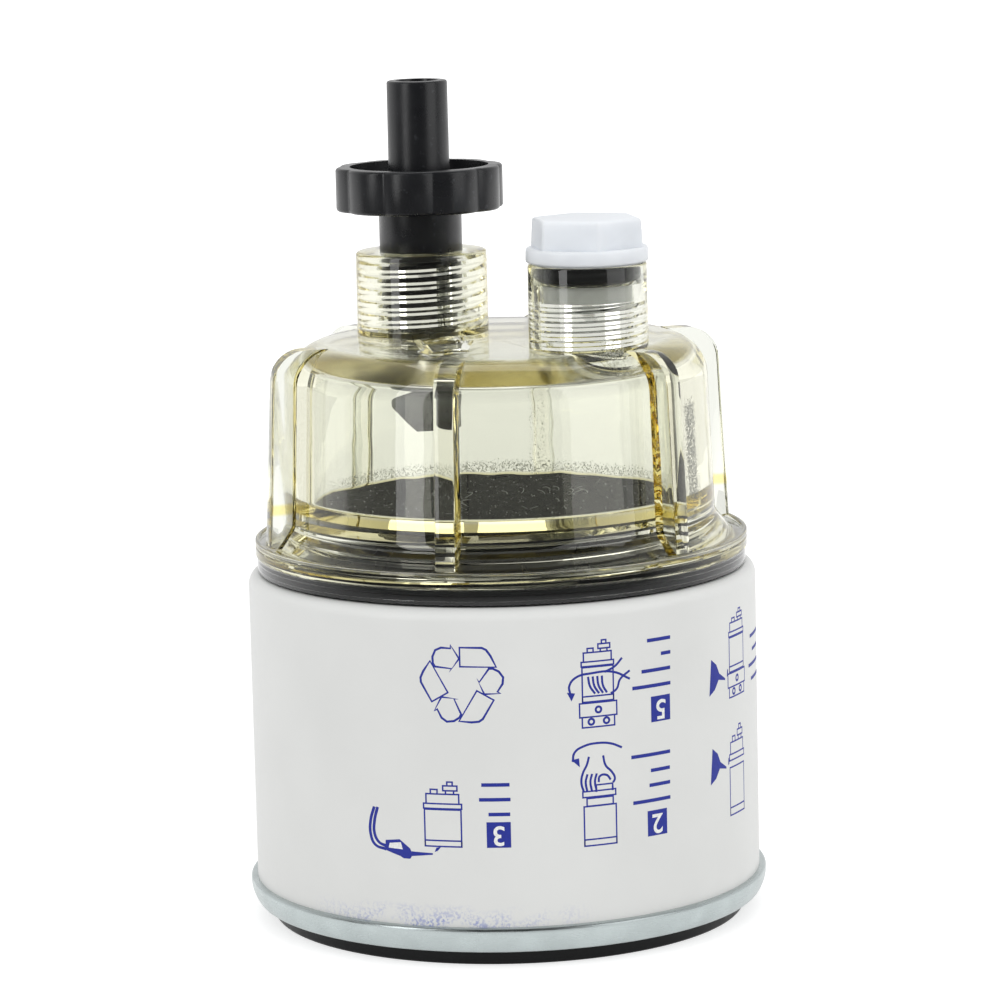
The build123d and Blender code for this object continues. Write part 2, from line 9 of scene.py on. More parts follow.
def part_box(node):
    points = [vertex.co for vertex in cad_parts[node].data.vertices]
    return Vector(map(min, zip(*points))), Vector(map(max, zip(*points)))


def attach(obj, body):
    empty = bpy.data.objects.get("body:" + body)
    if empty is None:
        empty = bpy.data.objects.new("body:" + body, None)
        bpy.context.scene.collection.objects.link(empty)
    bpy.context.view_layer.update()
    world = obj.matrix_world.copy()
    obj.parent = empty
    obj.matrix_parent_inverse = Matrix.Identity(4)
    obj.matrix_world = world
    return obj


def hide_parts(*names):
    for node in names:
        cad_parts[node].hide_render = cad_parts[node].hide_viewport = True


bl_info = {
    "name": "Fuel Water Separator",
    "version": (1, 0, 0),
    "blender": (4, 5, 0),
    "location": "View3D > Sidebar > Separator",
    "description": "Builds a spin-on fuel filter with a clear water bowl round its packed model",
    "category": "Add Mesh",
}

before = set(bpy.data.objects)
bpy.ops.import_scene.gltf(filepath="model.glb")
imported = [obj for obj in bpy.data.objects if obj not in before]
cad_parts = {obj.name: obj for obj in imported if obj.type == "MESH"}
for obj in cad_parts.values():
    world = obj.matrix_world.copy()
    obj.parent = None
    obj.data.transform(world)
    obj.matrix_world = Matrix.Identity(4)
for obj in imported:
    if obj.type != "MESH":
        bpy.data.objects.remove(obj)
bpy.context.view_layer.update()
MM = 0.001

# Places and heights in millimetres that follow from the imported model
DRAIN_AT, PORT_AT = (
    tuple((low + high) / 2 / MM for low, high in list(zip(*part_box(name)))[:2])
    for name in ("drain_o_ring", "plug_o_ring"))
NECK_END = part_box("thread_neck")[1][2] / MM
LEDGE = NECK_END + 0.3

# Heights and thickness of the bowl's main forms in millimetres
FLANGE_FOOT, WALL_FOOT, WALL, ROOM_END, BOWL_END = 56.25, 64.3, 4.5, 87.7, 92.3


# Colours and values

def linear(code):
    """A colour written as sRGB hex, as linear red, green, blue and alpha."""
    parts = [int(code[i:i + 2], 16) / 255 for i in (1, 3, 5)]
    return tuple(c / 12.92 if c <= 0.04045 else ((c + 0.055) / 1.055) ** 2.4 for c in parts) + (1.0,)


def darker(value, factor):
    """A colour scaled by a factor."""
    return tuple(c * factor for c in value[:3]) + (1.0,)


def grain(size):
    """The scale of a noise or cell pattern whose grains are this many millimetres wide."""
    return 1000.0 / size


def length(name, description, default):
    """A length property whose default is given in millimetres."""
    return bpy.props.FloatProperty(
        name=name, description=description, default=default * MM, min=0.0,
        unit="LENGTH", subtype="DISTANCE", precision=5)


def angle(name, description, default):
    """An angle property whose default is given in degrees."""
    return bpy.props.FloatProperty(
        name=name, description=description, unit="ROTATION", subtype="ANGLE", default=math.radians(default))


def colour(name, description, default):
    """A colour property whose default is sRGB hex."""
    return bpy.props.FloatVectorProperty(
        name=name, description=description, default=linear(default), size=4,
        min=0.0, max=1.0, subtype="COLOR")


class BowlSettings(bpy.types.PropertyGroup):
    wall: length("Wall radius", "Outer radius of the bowl over its skirt", 34.2)
    draft: length("Draft", "How much the wall draws in up to the end", 1.05)
    flange: length("Flange radius", "Outer radius of the flange", 39.25)
    bore: length("Thread bore", "Radius of the bowl's bore over its thread crests", 32.0)
    groove: length("Thread depth", "Depth of the bowl's thread", 1.0)
    pitch: length("Thread pitch", "Rise of the bowl's thread in one turn", 3.0)
    corner: length("Corner radius", "Outer radius between the wall and the end", 6.0)
    ribs: bpy.props.IntProperty(name="Ribs", description="Number of ribs", default=6, min=1, max=24)
    rib: length("Rib thickness", "Thickness of one rib", 3.2)
    rib_turn: angle("Rib angle", "Direction of the first rib", 257)
    tint: colour("Tint", "Colour that thick walls of the clear bowl turn to", "#F2E44B")
    depth: bpy.props.FloatProperty(
        name="Tint density", description="How fast the tint gathers with thickness, per metre",
        default=20.0, min=0.0)


class ValveSettings(bpy.types.PropertyGroup):
    wheel: length("Wheel radius", "Outer radius of the handwheel", 13.5)
    lobe: length("Lobe radius", "Radius of one lobe of the handwheel", 6.5)
    lobes: bpy.props.IntProperty(name="Lobes", description="Number of lobes", default=10, min=3, max=24)
    spout: length("Spout radius", "Outer radius of the hose spout", 4.85)
    bore: length("Spout bore", "Bore of the hose spout", 3.3)
    stem: length("Stem radius", "Radius of the stem over its thread", 6.5)
    pitch: length("Thread pitch", "Rise of the stem's thread in one turn", 2.0)
    nylon: colour("Valve colour", "Colour of the black nylon", "#191A1D")


class PlugSettings(bpy.types.PropertyGroup):
    flats: length("Across flats", "Width of the head across its flats", 16.0)
    flange: length("Flange radius", "Outer radius of the plug's flange", 9.6)
    shank: length("Shank radius", "Radius of the shank over its thread", 6.9)
    pitch: length("Thread pitch", "Rise of the shank's thread in one turn", 1.5)
    nylon: colour("Plug colour", "Colour of the natural nylon", "#E9EDF2")


class CanSettings(bpy.types.PropertyGroup):
    radius: length("Can radius", "Outer radius of the can", 40.5)
    shoulder: length("Shoulder", "Outer radius of the can's shoulder", 2.0)
    line: length("Line width", "Half the width of a printed line", 0.18)
    paint: colour("Paint", "Colour of the can's enamel", "#E6E7E5")
    ink: colour("Ink", "Colour of the print", "#142690")
    zinc: colour("Zinc", "Colour of the plated lid", "#C3CCCC")
    rubber: colour("Rubber", "Colour of the rubber rings", "#0B0C0D")


class StageSettings(bpy.types.PropertyGroup):
    lens: bpy.props.FloatProperty(
        name="Lens", description="Focal length of the camera in millimetres", default=157.71, min=20.0)
    distance: length("Distance", "Distance from the camera to the object's middle", 700.0)
    elevation: angle("Elevation", "Height of the camera over the horizon", 9.24)
    roll: angle("Roll", "Turn of the camera about its own view", -1.34)
    level: bpy.props.FloatProperty(
        name="Light level", description="Factor on all lamps", default=1.0, min=0.0)


# Materials. All of them take their patterns from the object's own coordinates, in metres.

# What a kind of node calls the mode that follows its name
MODES = {"Math": "operation", "VectorMath": "operation", "Mix": "data_type", "TexVoronoi": "feature"}


def node(tree, kind, *inputs):
    """Adds a node of a kind, with its mode after a space. Its inputs, in the order of its sockets or
    by their names in a last dictionary, take a value, a node, or the output that feeds them."""
    kind, _, mode = kind.partition(" ")
    made = tree.nodes.new("ShaderNode" + kind)
    if mode:
        setattr(made, MODES[kind], mode)
    named = inputs[-1] if inputs and isinstance(inputs[-1], dict) else {}
    for key, value in (*enumerate(inputs[:-1] if named else inputs), *named.items()):
        if isinstance(value, bpy.types.Node):
            value = next(output for output in value.outputs if output.enabled)
        if isinstance(value, bpy.types.NodeSocket):
            tree.links.new(value, made.inputs[key])
        else:
            made.inputs[key].default_value = value
    return made


def new_material(name):
    """An empty node material, with what adds a node to it and the place on the object."""
    material = bpy.data.materials.new(name)
    material.use_nodes = True
    material.node_tree.nodes.clear()
    add = partial(node, material.node_tree)
    return material, add, add("TexCoord").outputs["Object"]


def grained(started, dark, pale, tone, rough, relief=(), covers=(), **inputs):
    """Finishes a material with one surface. Its colour runs from dark to pale and its roughness
    between two values as noises do, and then come covers, each a share and a colour. A noise is its
    grain in millimetres, its detail and the range it is stretched to; in the relief the height in
    millimetres and the strength stand for the range."""
    material, add, spot = started
    drawn = []
    for pattern in (tone, rough, relief[:2]):
        if isinstance(pattern, tuple) and pattern:
            size, detail, *reach = pattern
            pattern = add("TexNoise", spot, {"Scale": grain(size), "Detail": detail})
            if reach:
                pattern = add("MapRange", pattern, *reach)
        drawn.append(pattern)
    base = add("Mix RGBA", drawn[0], {6: dark, 7: pale})
    for share, code in covers:
        base = add("Mix RGBA", share, {6: base, 7: linear(code)})
    inputs = {name.replace("_", " "): value for name, value in inputs.items()}
    if relief:
        height, strength = (*relief[2:], 1.0)[:2]
        inputs["Normal"] = add("Bump", {"Height": drawn[2], "Distance": height * MM, "Strength": strength})
    add("OutputMaterial", add("BsdfPrincipled", {"Base Color": base, "Roughness": drawn[1], **inputs}))
    return material


def clear_polycarbonate(settings):
    """Clear polycarbonate, injection moulded: sharp see-through walls with a straw tint that
    gathers in thick places, faint flow waves, frosty specks over the thread and at the rib roots."""
    material, add, spot = new_material("clear_polycarbonate_moulded")
    x, y, z = add("SeparateXYZ", spot).outputs
    # Frost lies in a band over the ledge, at the rib roots near the front, in a strip on the
    # right, and in crumbs under the port's boss; the first three only on the inner surface
    rise = add("MapRange", z, (LEDGE - 0.2) * MM, (LEDGE + 0.2) * MM)
    fall = add("MapRange", z, (LEDGE + 4.0) * MM, (LEDGE + 1.4) * MM)
    rear = add("MapRange", y, -0.012, 0.014, 0.05, 0.85)
    band = add("Math MULTIPLY", rise, fall)
    band = add("Math MULTIPLY", band, rear)
    turn = add("Math ARCTAN2", y, x)
    turn = add("Math SUBTRACT", turn, settings.rib_turn)
    aside = add("Math PINGPONG", turn, math.pi / settings.ribs)
    root = add("MapRange", aside, 0.085, 0.045, 0.0, 0.8)
    flat = add("VectorMath MULTIPLY", spot, (1.0, 1.0, 0.0))
    reach = add("VectorMath LENGTH", flat).outputs["Value"]
    inside = add("MapRange", reach, 31.2 * MM, 30.8 * MM)
    upper = add("MapRange", z, 86.0 * MM, 82.0 * MM)
    aside = add("Math SUBTRACT", x, 0.008)
    aside = add("Math ABSOLUTE", aside)
    aside = add("MapRange", aside, 0.018, 0.004)
    for part in (upper, rear, aside):
        root = add("Math MULTIPLY", root, part)
    strip = add("VectorMath DISTANCE", flat, (0.0272, -0.0104, 0.0)).outputs["Value"]
    strip = add("MapRange", strip, 3.8 * MM, 1.2 * MM)
    strip = add("Math MULTIPLY", strip, upper)
    where = add("Math MAXIMUM", root, strip)
    where = add("Math MAXIMUM", band, where)
    where = add("Math MULTIPLY", where, inside)
    crumb = add("VectorMath DISTANCE", spot, (0.0175, -0.0205, 0.0905)).outputs["Value"]
    crumb = add("MapRange", crumb, 4.2 * MM, 2.6 * MM, 0.0, 0.8)
    where = add("Math MAXIMUM", where, crumb)
    fine = add("TexNoise", spot, {"Scale": grain(0.32), "Detail": 4.0, "Roughness": 0.8})
    limit = add("MapRange", where, 0.0, 1.0, 0.80, 0.44)
    speck = add("Math SUBTRACT", fine, limit)
    frost = add("MapRange", speck, 0.0, 0.06, 0.0, 0.85)
    # The inner face of the end is a little dull
    under = add("Math SUBTRACT", z, ROOM_END * MM)
    under = add("Math ABSOLUTE", under)
    under = add("MapRange", under, 0.3 * MM, 0.1 * MM, 0.01, 0.16)
    within = add("Math LESS_THAN", reach, 28.7 * MM)
    haze = add("Math MULTIPLY", under, within)
    haze = add("Math MAXIMUM", haze, 0.01)
    flow = add("TexNoise", spot, {"Scale": grain(7.0), "Detail": 1.0})
    wave = add("Bump", {"Height": flow, "Distance": 0.05 * MM})
    # The ledge itself is the yellowest place
    belt = add("Math SUBTRACT", z, (LEDGE - 0.7) * MM)
    belt = add("Math ABSOLUTE", belt)
    belt = add("MapRange", belt, 1.0 * MM, 0.6 * MM)
    base = add("Mix RGBA", belt, {6: linear("#EDEFEC"), 7: linear("#F2E9AE")})
    clear = add("BsdfPrincipled", {
        "Base Color": base, "Roughness": haze, "IOR": 1.57, "Transmission Weight": 1.0, "Normal": wave})
    milky = add("BsdfDiffuse", add("Mix RGBA", strip, {6: linear("#F2F2E4"), 7: linear("#6A6D68")}))
    surface = add("MixShader", frost, clear, milky)
    volume = add("VolumeAbsorption", settings.tint, settings.depth)
    add("OutputMaterial", surface, volume)
    return material


def black_nylon(value):
    """Black glass-filled nylon, moulded: a satin skin with fine pimples and slightly paler scuffs,
    and a painted pale reflection on the valve's nose where it hangs in the bowl."""
    started = _, add, spot = new_material("black_nylon_moulded")
    rubbed = add("TexNoise", spot, {"Scale": grain(0.9), "Detail": 4.0})
    scuff = add("MapRange", rubbed, 0.64, 0.74, 0.0, 0.35)
    height = add("SeparateXYZ", spot).outputs["Z"]
    # Painted reflection: the valve's nose is painted paler towards its top, up to just under the bowl's end
    nose = add("MapRange", height, 79.0 * MM, 85.5 * MM, 0.0, 0.6)
    nose = add("Math MULTIPLY", nose, add("Math LESS_THAN", height, 87.8 * MM))
    return grained(
        started, darker(value, 0.8), darker(value, 1.3), (5.0, 2.0, 0.3, 0.75),
        (5.0, 2.0, 0.3, 0.7, 0.24, 0.36), (0.25, 3.0, 0.02, 0.6),
        ((scuff, "#4A4D52"), (nose, "#B4BABD")), IOR=1.52)


def dusty_nylon():
    """Black nylon of the neck: a dull moulded end with pale lint, dust and fibre scraps on it."""
    started = _, add, spot = new_material("black_nylon_dusty")
    cells = add("TexVoronoi", spot, {"Scale": grain(1.0)})
    chance = add("SeparateColor", cells.outputs["Color"]).outputs["Red"]
    few = add("MapRange", chance, 0.54, 0.62, 0.0, 0.9)
    dust = add("Math MULTIPLY", add("MapRange", cells, 0.17, 0.11), few)
    strands = add("TexNoise", spot, {"Scale": grain(3.5), "Detail": 1.0, "Distortion": 1.2})
    middle = add("Math ABSOLUTE", add("Math SUBTRACT", strands, 0.5))
    gate = add("TexNoise", spot, {"Scale": grain(2.4), "Detail": 0.0})
    gate = add("MapRange", gate, 0.57, 0.61, 0.0, 0.8)
    fibre = add("Math MULTIPLY", add("MapRange", middle, 0.006, 0.003), gate)
    litter = add("Math MAXIMUM", dust, fibre)
    return grained(
        started, linear("#0E0F10"), linear("#1C1E20"), (9.0, 3.0, 0.35, 0.7), 0.8,
        (0.5, 2.0, 0.03), ((litter, "#C9CCCB"),), IOR=1.5, Specular_IOR_Level=0.06)


def paper_lint():
    """Scraps of paper fibre: pale, dull and slightly uneven in tone."""
    return grained(new_material("paper_lint"), linear("#8E9292"), linear("#F4F6F6"), (2.0, 1.0), 0.9)


def natural_nylon(value):
    """Natural nylon, moulded: milky, light passes a little way in, with a soft waxy gloss."""
    started = _, add, spot = new_material("natural_nylon_moulded")
    # The shank under the flange is painted whiter and has no subsurface there: painted light that makes up for
    # the shade it lies in inside its boss
    painted_light_shank = add("MapRange", add("SeparateXYZ", spot).outputs["Z"], 105.6 * MM, 105.2 * MM)
    return grained(
        started, darker(value, 0.95), value, (4.0, 2.0, 0.3, 0.7), (4.0, 2.0, 0.3, 0.7, 0.30, 0.42),
        (4.0, 2.0, 0.05), ((painted_light_shank, "#FCFDFD"),), IOR=1.53, Subsurface_Radius=(1.0, 1.0, 1.0),
        Subsurface_Scale=2.5 * MM, Subsurface_Weight=add("MapRange", painted_light_shank, 0.0, 1.0, 0.6, 0.0))


def nitrile_rubber(value):
    """Nitrile rubber, pressed: dull black with a slight bloom and a fine mould grain."""
    return grained(
        new_material("nitrile_rubber_pressed"), value, linear("#141618"), (3.0, 4.0, 0.45, 0.75, 0.0, 0.5),
        (3.0, 4.0, 0.3, 0.7, 0.28, 0.42), (0.3, 2.0, 0.015), IOR=1.5, Specular_IOR_Level=0.2)


def zinc_plate(value):
    """Zinc-plated steel sheet, rolled: a satin cold-grey metal with faint spangle and roll lines."""
    material, add, spot = new_material("zinc_plated_steel_rolled")
    spangle = add("TexVoronoi SMOOTH_F1", spot, {"Scale": grain(3.0)})
    patch = add("SeparateColor", spangle.outputs["Color"]).outputs["Red"]
    base = add("Mix RGBA", patch, {6: darker(value, 0.88), 7: value})
    stretched = add("Mapping", spot, {"Scale": (0.04, 0.04, 1.0)})
    lines = add("TexNoise", stretched, {"Scale": grain(0.12), "Detail": 2.0})
    rough = add("MapRange", lines, 0.3, 0.7, 0.24, 0.36)
    skin = add("Bump", {"Height": lines, "Distance": 0.006 * MM})
    add("OutputMaterial", add("BsdfPrincipled", {
        "Base Color": base, "Metallic": 1.0, "Roughness": rough, "Normal": skin}))
    return material


def enamel(value):
    """White enamel on steel, roller coated and printed: an even soft gloss with slight orange peel,
    a greyer cast in patches, and faint blue ink scuffs low on the wall over the rim."""
    started = _, add, spot = new_material("white_enamel_coated")
    x, y, z = add("SeparateXYZ", spot).outputs
    blot = add("TexNoise", spot, {"Scale": grain(0.45), "Detail": 4.0})
    drift = add("TexNoise", spot, {"Scale": grain(4.0), "Detail": 2.0})
    rub = add("MapRange", z, 10.2 * MM, 7.6 * MM)
    for share in (
            add("MapRange", x, -31.0 * MM, -16.0 * MM), add("MapRange", x, 14.0 * MM, -6.0 * MM),
            add("Math LESS_THAN", y, -0.015), add("MapRange", blot, 0.44, 0.62, 0.0, 0.62),
            add("MapRange", drift, 0.36, 0.60)):
        rub = add("Math MULTIPLY", rub, share)
    return grained(
        started, darker(value, 0.965), value, (16.0, 2.0, 0.35, 0.7), (0.9, 2.0, 0.3, 0.7, 0.34, 0.42),
        (0.9, 2.0, 0.012), ((rub, "#3D5FC4"),), IOR=1.5)


def printing_ink(name, value):
    """Ink printed on enamel: dense, faintly uneven where the roller pressed harder."""
    return grained(new_material(name), value, darker(value, 1.25), (0.35, 3.0, 0.35, 0.75), 0.55, IOR=1.5)


def bare_metal(name, code, size, low, high):
    """Pressed or turned sheet metal: its own grey with patches of tone and fine tool lines."""
    return grained(
        new_material(name), darker(linear(code), 0.7), linear(code), (size, 3.0),
        (0.2, 2.0, 0.3, 0.7, low, high), (0.2, 2.0, 0.004), Metallic=1.0)


def filter_paper():
    """Resin-cured filter paper, pleated: warm buff with fibres that show as a fine uneven grain."""
    return grained(
        new_material("filter_paper_pleated"), linear("#B98E4C"), linear("#E6C98C"), (0.35, 5.0), 0.9,
        (0.35, 5.0, 0.05))


# Shapes

def moved(bm, x, y, z=0.0):
    """The same shape set off by this many millimetres."""
    bmesh.ops.translate(bm, verts=bm.verts[:], vec=(x * MM, y * MM, z * MM))
    return bm


def spun(bm, degrees, axis="Z"):
    """The same shape turned about the object's own axis, or about one across it."""
    bmesh.ops.rotate(bm, verts=bm.verts[:], cent=(0, 0, 0),
                     matrix=Matrix.Rotation(math.radians(degrees), 3, axis))
    return bm


def softened(bm, geom, radius, pieces, affect="EDGES"):
    """The same shape with these edges or corners rounded by a radius in millimetres."""
    bmesh.ops.bevel(bm, geom=geom, offset=radius * MM, offset_type="OFFSET", segments=pieces,
                    profile=0.5, affect=affect, material=-1)
    return bm


def swept(bm, geom, turn, steps, centre=(0, 0, 0), **settings):
    """Spins geometry about an upright axis by an angle in radians."""
    bmesh.ops.spin(bm, geom=geom, cent=centre, axis=(0, 0, 1), angle=turn, steps=steps,
                   **{"dvec": (0, 0, 0), "use_merge": False, **settings})
    return bm


def raised(bm, faces, way):
    """The same shape with these faces drawn out by a way in millimetres."""
    grown = bmesh.ops.extrude_face_region(bm, geom=faces)
    ends = [g for g in grown["geom"] if isinstance(g, bmesh.types.BMVert)]
    bmesh.ops.translate(bm, verts=ends, vec=[part * MM for part in way])
    bmesh.ops.recalc_face_normals(bm, faces=bm.faces[:])
    return bm


def turned(points, rounds=(), steps=192, at=(0.0, 0.0)):
    """A solid turned once round an upright axis from an outline of (radius, height) in millimetres.
    Each of rounds is an outline corner with its radius and its number of pieces."""
    bm = bmesh.new()
    verts = [bm.verts.new((r * MM, 0.0, z * MM)) for r, z in points]
    for vert, after in zip(verts, verts[1:] + verts[:1]):
        if abs(vert.co.x) + abs(after.co.x) > 0.0:
            bm.edges.new((vert, after))
    for index, radius, pieces in rounds:
        softened(bm, [verts[index]], radius, pieces, "VERTICES")
    swept(bm, bm.verts[:] + bm.edges[:], 2 * math.pi, steps, use_merge=True)
    bmesh.ops.remove_doubles(bm, verts=bm.verts[:], dist=1e-7)
    bmesh.ops.recalc_face_normals(bm, faces=bm.faces[:])
    return moved(bm, *at)


def turned_ring(middle, height, half, at):
    """A ring of round section."""
    bm = bmesh.new()
    bmesh.ops.create_circle(bm, cap_ends=False, segments=24, radius=half * MM,
                            matrix=Matrix.Translation((middle * MM, 0.0, height * MM))
                            @ Matrix.Rotation(math.pi / 2, 4, "X"))
    swept(bm, bm.verts[:] + bm.edges[:], 2 * math.pi, 96, use_merge=True)
    bmesh.ops.recalc_face_normals(bm, faces=bm.faces[:])
    return moved(bm, *at)


def screw(crest, root, pitch, low, high, steps=96, at=(0.0, 0.0), land=0.14, peak=0.14):
    """A solid rod with a right-handed thread between two heights, in millimetres. The land is
    half the root's share of the pitch and the peak is the crest's share."""
    bm = bmesh.new()
    outline = [(root, 0.0), (root, land), (crest, 0.5 - peak / 2), (crest, 0.5 + peak / 2),
               (root, 1.0 - land), (root, 1.0)]
    verts = [bm.verts.new((r * MM, 0.0, (low - pitch + share * pitch) * MM)) for r, share in outline]
    edges = [bm.edges.new(pair) for pair in zip(verts, verts[1:])]
    turns = math.ceil((high - low) / pitch) + 2
    swept(bm, verts + edges, 2 * math.pi * turns, steps * turns, dvec=(0, 0, pitch * MM / steps))
    bmesh.ops.remove_doubles(bm, verts=bm.verts[:], dist=2e-6)
    for height, upper in ((low, False), (high, True)):
        bmesh.ops.bisect_plane(bm, geom=bm.verts[:] + bm.edges[:] + bm.faces[:], dist=1e-8,
                               plane_co=(0, 0, height * MM), plane_no=(0, 0, 1),
                               clear_outer=upper, clear_inner=not upper)
    bmesh.ops.holes_fill(bm, edges=[e for e in bm.edges if e.is_boundary], sides=0)
    bmesh.ops.recalc_face_normals(bm, faces=bm.faces[:])
    return moved(bm, *at)


def rod(radius, low, high, at=(0.0, 0.0), steps=96):
    """A plain upright cylinder in millimetres."""
    bm = bmesh.new()
    bmesh.ops.create_cone(bm, cap_ends=True, segments=steps, radius1=radius * MM,
                          radius2=radius * MM, depth=(high - low) * MM)
    return moved(bm, *at, (low + high) / 2)


def block(wide, deep, tall):
    """A plain box in millimetres, about the object's origin."""
    bm = bmesh.new()
    bmesh.ops.create_cube(bm, size=1.0)
    bmesh.ops.scale(bm, verts=bm.verts[:], vec=(wide * MM, deep * MM, tall * MM))
    return bm


def slab(points, thickness):
    """An upright plate with this outline of (across, up) in millimetres, centred on its plane."""
    bm = bmesh.new()
    verts = [bm.verts.new((a * MM, -thickness / 2 * MM, b * MM)) for a, b in points]
    return raised(bm, [bm.faces.new(verts)], (0.0, thickness, 0.0))


def level(edge):
    """Whether an edge lies flat."""
    low, high = sorted(vert.co.z for vert in edge.verts)
    return high - low < 1e-7


def solid(name, bm):
    """An object with this mesh, linked in the scene."""
    mesh = bpy.data.meshes.new(name)
    bm.to_mesh(mesh)
    bm.free()
    made = bpy.data.objects.new(name, mesh)
    bpy.context.scene.collection.objects.link(made)
    return made


def meshed(holder):
    """An object's mesh with its modifiers or its curve worked out."""
    bpy.context.view_layer.update()
    return bpy.data.meshes.new_from_object(holder.evaluated_get(bpy.context.evaluated_depsgraph_get()))


def cleaned(mesh, near, least):
    """Joins a mesh's points that nearly meet, and clears faces and edges of no size."""
    bm = bmesh.new()
    bm.from_mesh(mesh)
    bmesh.ops.remove_doubles(bm, verts=bm.verts[:], dist=near)
    bmesh.ops.dissolve_degenerate(bm, edges=bm.edges[:], dist=least)
    bm.to_mesh(mesh)
    bm.free()


def carve(target, bm, how="DIFFERENCE"):
    """Cuts a shape from a solid, joins it on, or keeps what both share. The mesh is cleaned after
    each step, so that it stays closed for the next one."""
    tool = solid("tool", bm)
    modifier = target.modifiers.new("carve", "BOOLEAN")
    modifier.operation, modifier.object, modifier.solver = how, tool, "EXACT"
    done, used = meshed(target), (target.data, tool.data)
    target.modifiers.clear()
    cleaned(done, 1e-6, 1e-7)
    target.data = done
    bpy.data.objects.remove(tool)
    for mesh in used:
        bpy.data.meshes.remove(mesh)
    if not len(target.data.polygons):
        raise RuntimeError(f"{target.name} lost its mesh in a {how} step")


def dress(piece, material, body, nodes=(), sharp=32.0):
    """Finishes a piece: clean seams, smooth shading with crisp edges, its material and its body."""
    cleaned(piece.data, 5e-7, 5e-7)
    piece.data.materials.clear()
    piece.data.materials.append(material)
    piece.data.polygons.foreach_set("use_smooth", [True] * len(piece.data.polygons))
    piece.data.set_sharp_from_angle(angle=math.radians(sharp))
    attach(piece, body)
    if nodes:
        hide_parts(*nodes)


def clothe(material, *names):
    """Gives CAD nodes a material."""
    for name in names:
        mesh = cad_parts[name].data
        mesh.materials.clear()
        mesh.materials.append(material)


class SEPARATOR_OT_bowl(bpy.types.Operator):
    """Build the clear bowl with its ribs, threads and bosses"""
    bl_idname = "separator.bowl"
    bl_label = "Clear bowl"

    def wall_at(self, height):
        """Outer radius of the drafted wall at a height, in millimetres."""
        share = (height - WALL_FOOT) / (BOWL_END - WALL_FOOT)
        return self.wall - self.draft * share

    def body(self, settings):
        """The flange, skirt, wall and end, turned in one."""
        flange, bore = settings.flange / MM, settings.bore / MM
        points = [
            (38.7, FLANGE_FOOT), (flange - 0.25, FLANGE_FOOT), (flange - 0.25, 58.55), (flange, 58.8),
            (flange, 60.1), (flange - 0.12, 60.25), (flange, 60.4), (flange, 61.2),
            (flange - 0.65, 61.2), (flange - 0.65, 60.6), (36.9, 60.6), (self.wall, WALL_FOOT),
            (self.wall_at(BOWL_END), BOWL_END), (0.0, BOWL_END), (0.0, ROOM_END),
            (self.wall_at(ROOM_END) - WALL, ROOM_END), (self.wall_at(LEDGE) - WALL, LEDGE),
            (bore, LEDGE - 1.5), (bore, FLANGE_FOOT), (35.4, FLANGE_FOOT), (35.4, 58.55), (38.7, 58.55),
        ]
        rounds = ((12, settings.corner / MM, 12), (15, 0.6, 4), (11, 0.65, 3), (16, 0.4, 3),
                  (7, 0.2, 3), (8, 0.12, 2), (1, 0.15, 2), (10, 0.3, 2))
        return solid("clear_bowl", turned(points, rounds, steps=216))

    def rib(self, settings, turn):
        """One rib, from its foot over the flange to its head flush with the end."""
        top = self.wall_at(BOWL_END)
        head = top - settings.corner / MM + 1.0
        outer, upper = 0.0365, 0.092
        bm = slab([
            (self.wall - 1.1, 63.6), (36.575, 60.975), (38.3, 61.3), (36.65, BOWL_END),
            (head, BOWL_END), (head, 90.8), (top - 2.25, 86.3),
        ], settings.rib / MM)
        across = [e for e in bm.edges if abs(e.verts[0].co.x - e.verts[1].co.x) < 1e-9
                  and abs(e.verts[0].co.z - e.verts[1].co.z) < 1e-9]
        corner = [e for e in across if e.verts[0].co.x > outer and e.verts[0].co.z > upper]
        softened(bm, corner, 5.0, 10)
        rim = [e for e in bm.edges if len(e.link_faces) == 2
               and abs(e.verts[0].co.y - e.verts[1].co.y) < 1e-9
               and min(v.co.x for v in e.verts) > outer]
        return spun(softened(bm, rim, 0.28, 2), turn)

    def gate(self):
        """The torn stub where the plastic was let into the mould."""
        bm = block(7.0, 4.6, 3.2)
        bmesh.ops.subdivide_edges(bm, edges=bm.edges[:], cuts=2, use_grid_fill=True)
        for vert in bm.verts:
            turn = vert.co.x * 2300 + vert.co.y * 4100 + vert.co.z * 1700
            vert.co += Vector((math.sin(turn), math.cos(turn * 1.7), math.sin(turn * 2.3))) * 0.5 * MM
        return moved(spun(bm, math.degrees(0.45)), -8.2, -17.0, 92.5)

    def execute(self, context):
        settings = context.scene.separator_bowl
        self.wall, self.draft = settings.wall / MM, settings.draft / MM
        bowl = self.body(settings)
        for index in range(settings.ribs):
            turn = math.degrees(settings.rib_turn) + 360 / settings.ribs * index
            carve(bowl, self.rib(settings, turn), "UNION")
        foot = 90.8
        for at, wide, narrow, top, edge in (
                (DRAIN_AT, 10.6, 10.55, 105.4, (2, 0.6, 4)), (PORT_AT, 9.35, 9.3, 105.3, (2, 0.3, 3))):
            boss = [(0.0, foot), (wide, foot), (narrow, top), (0.0, top)]
            carve(bowl, turned(boss, (edge,), 128, at), "UNION")
        carve(bowl, self.gate(), "UNION")
        bore, groove = settings.bore / MM, settings.groove / MM
        for cut in (
            screw(7.3, 6.8, 2.0, 92.8, 104.5, 96, DRAIN_AT, 0.09, 0.32),
            rod(6.95, 103.9, 106.0, DRAIN_AT),
            rod(5.95, 86.0, 93.5, DRAIN_AT),
            screw(7.75, 7.2, 1.5, 86.0, 99.6, 96, PORT_AT, 0.06, 0.146),
            rod(8.55, 102.3, 106.0, PORT_AT),
            rod(7.3, 99.2, 103.0, PORT_AT),
            screw(bore + groove, bore, settings.pitch / MM, 55.0, LEDGE - 1.9, 192, land=0.10),
        ):
            carve(bowl, cut)
        dress(bowl, clear_polycarbonate(settings), "bowl", ("bowl",), 35.0)
        return {"FINISHED"}


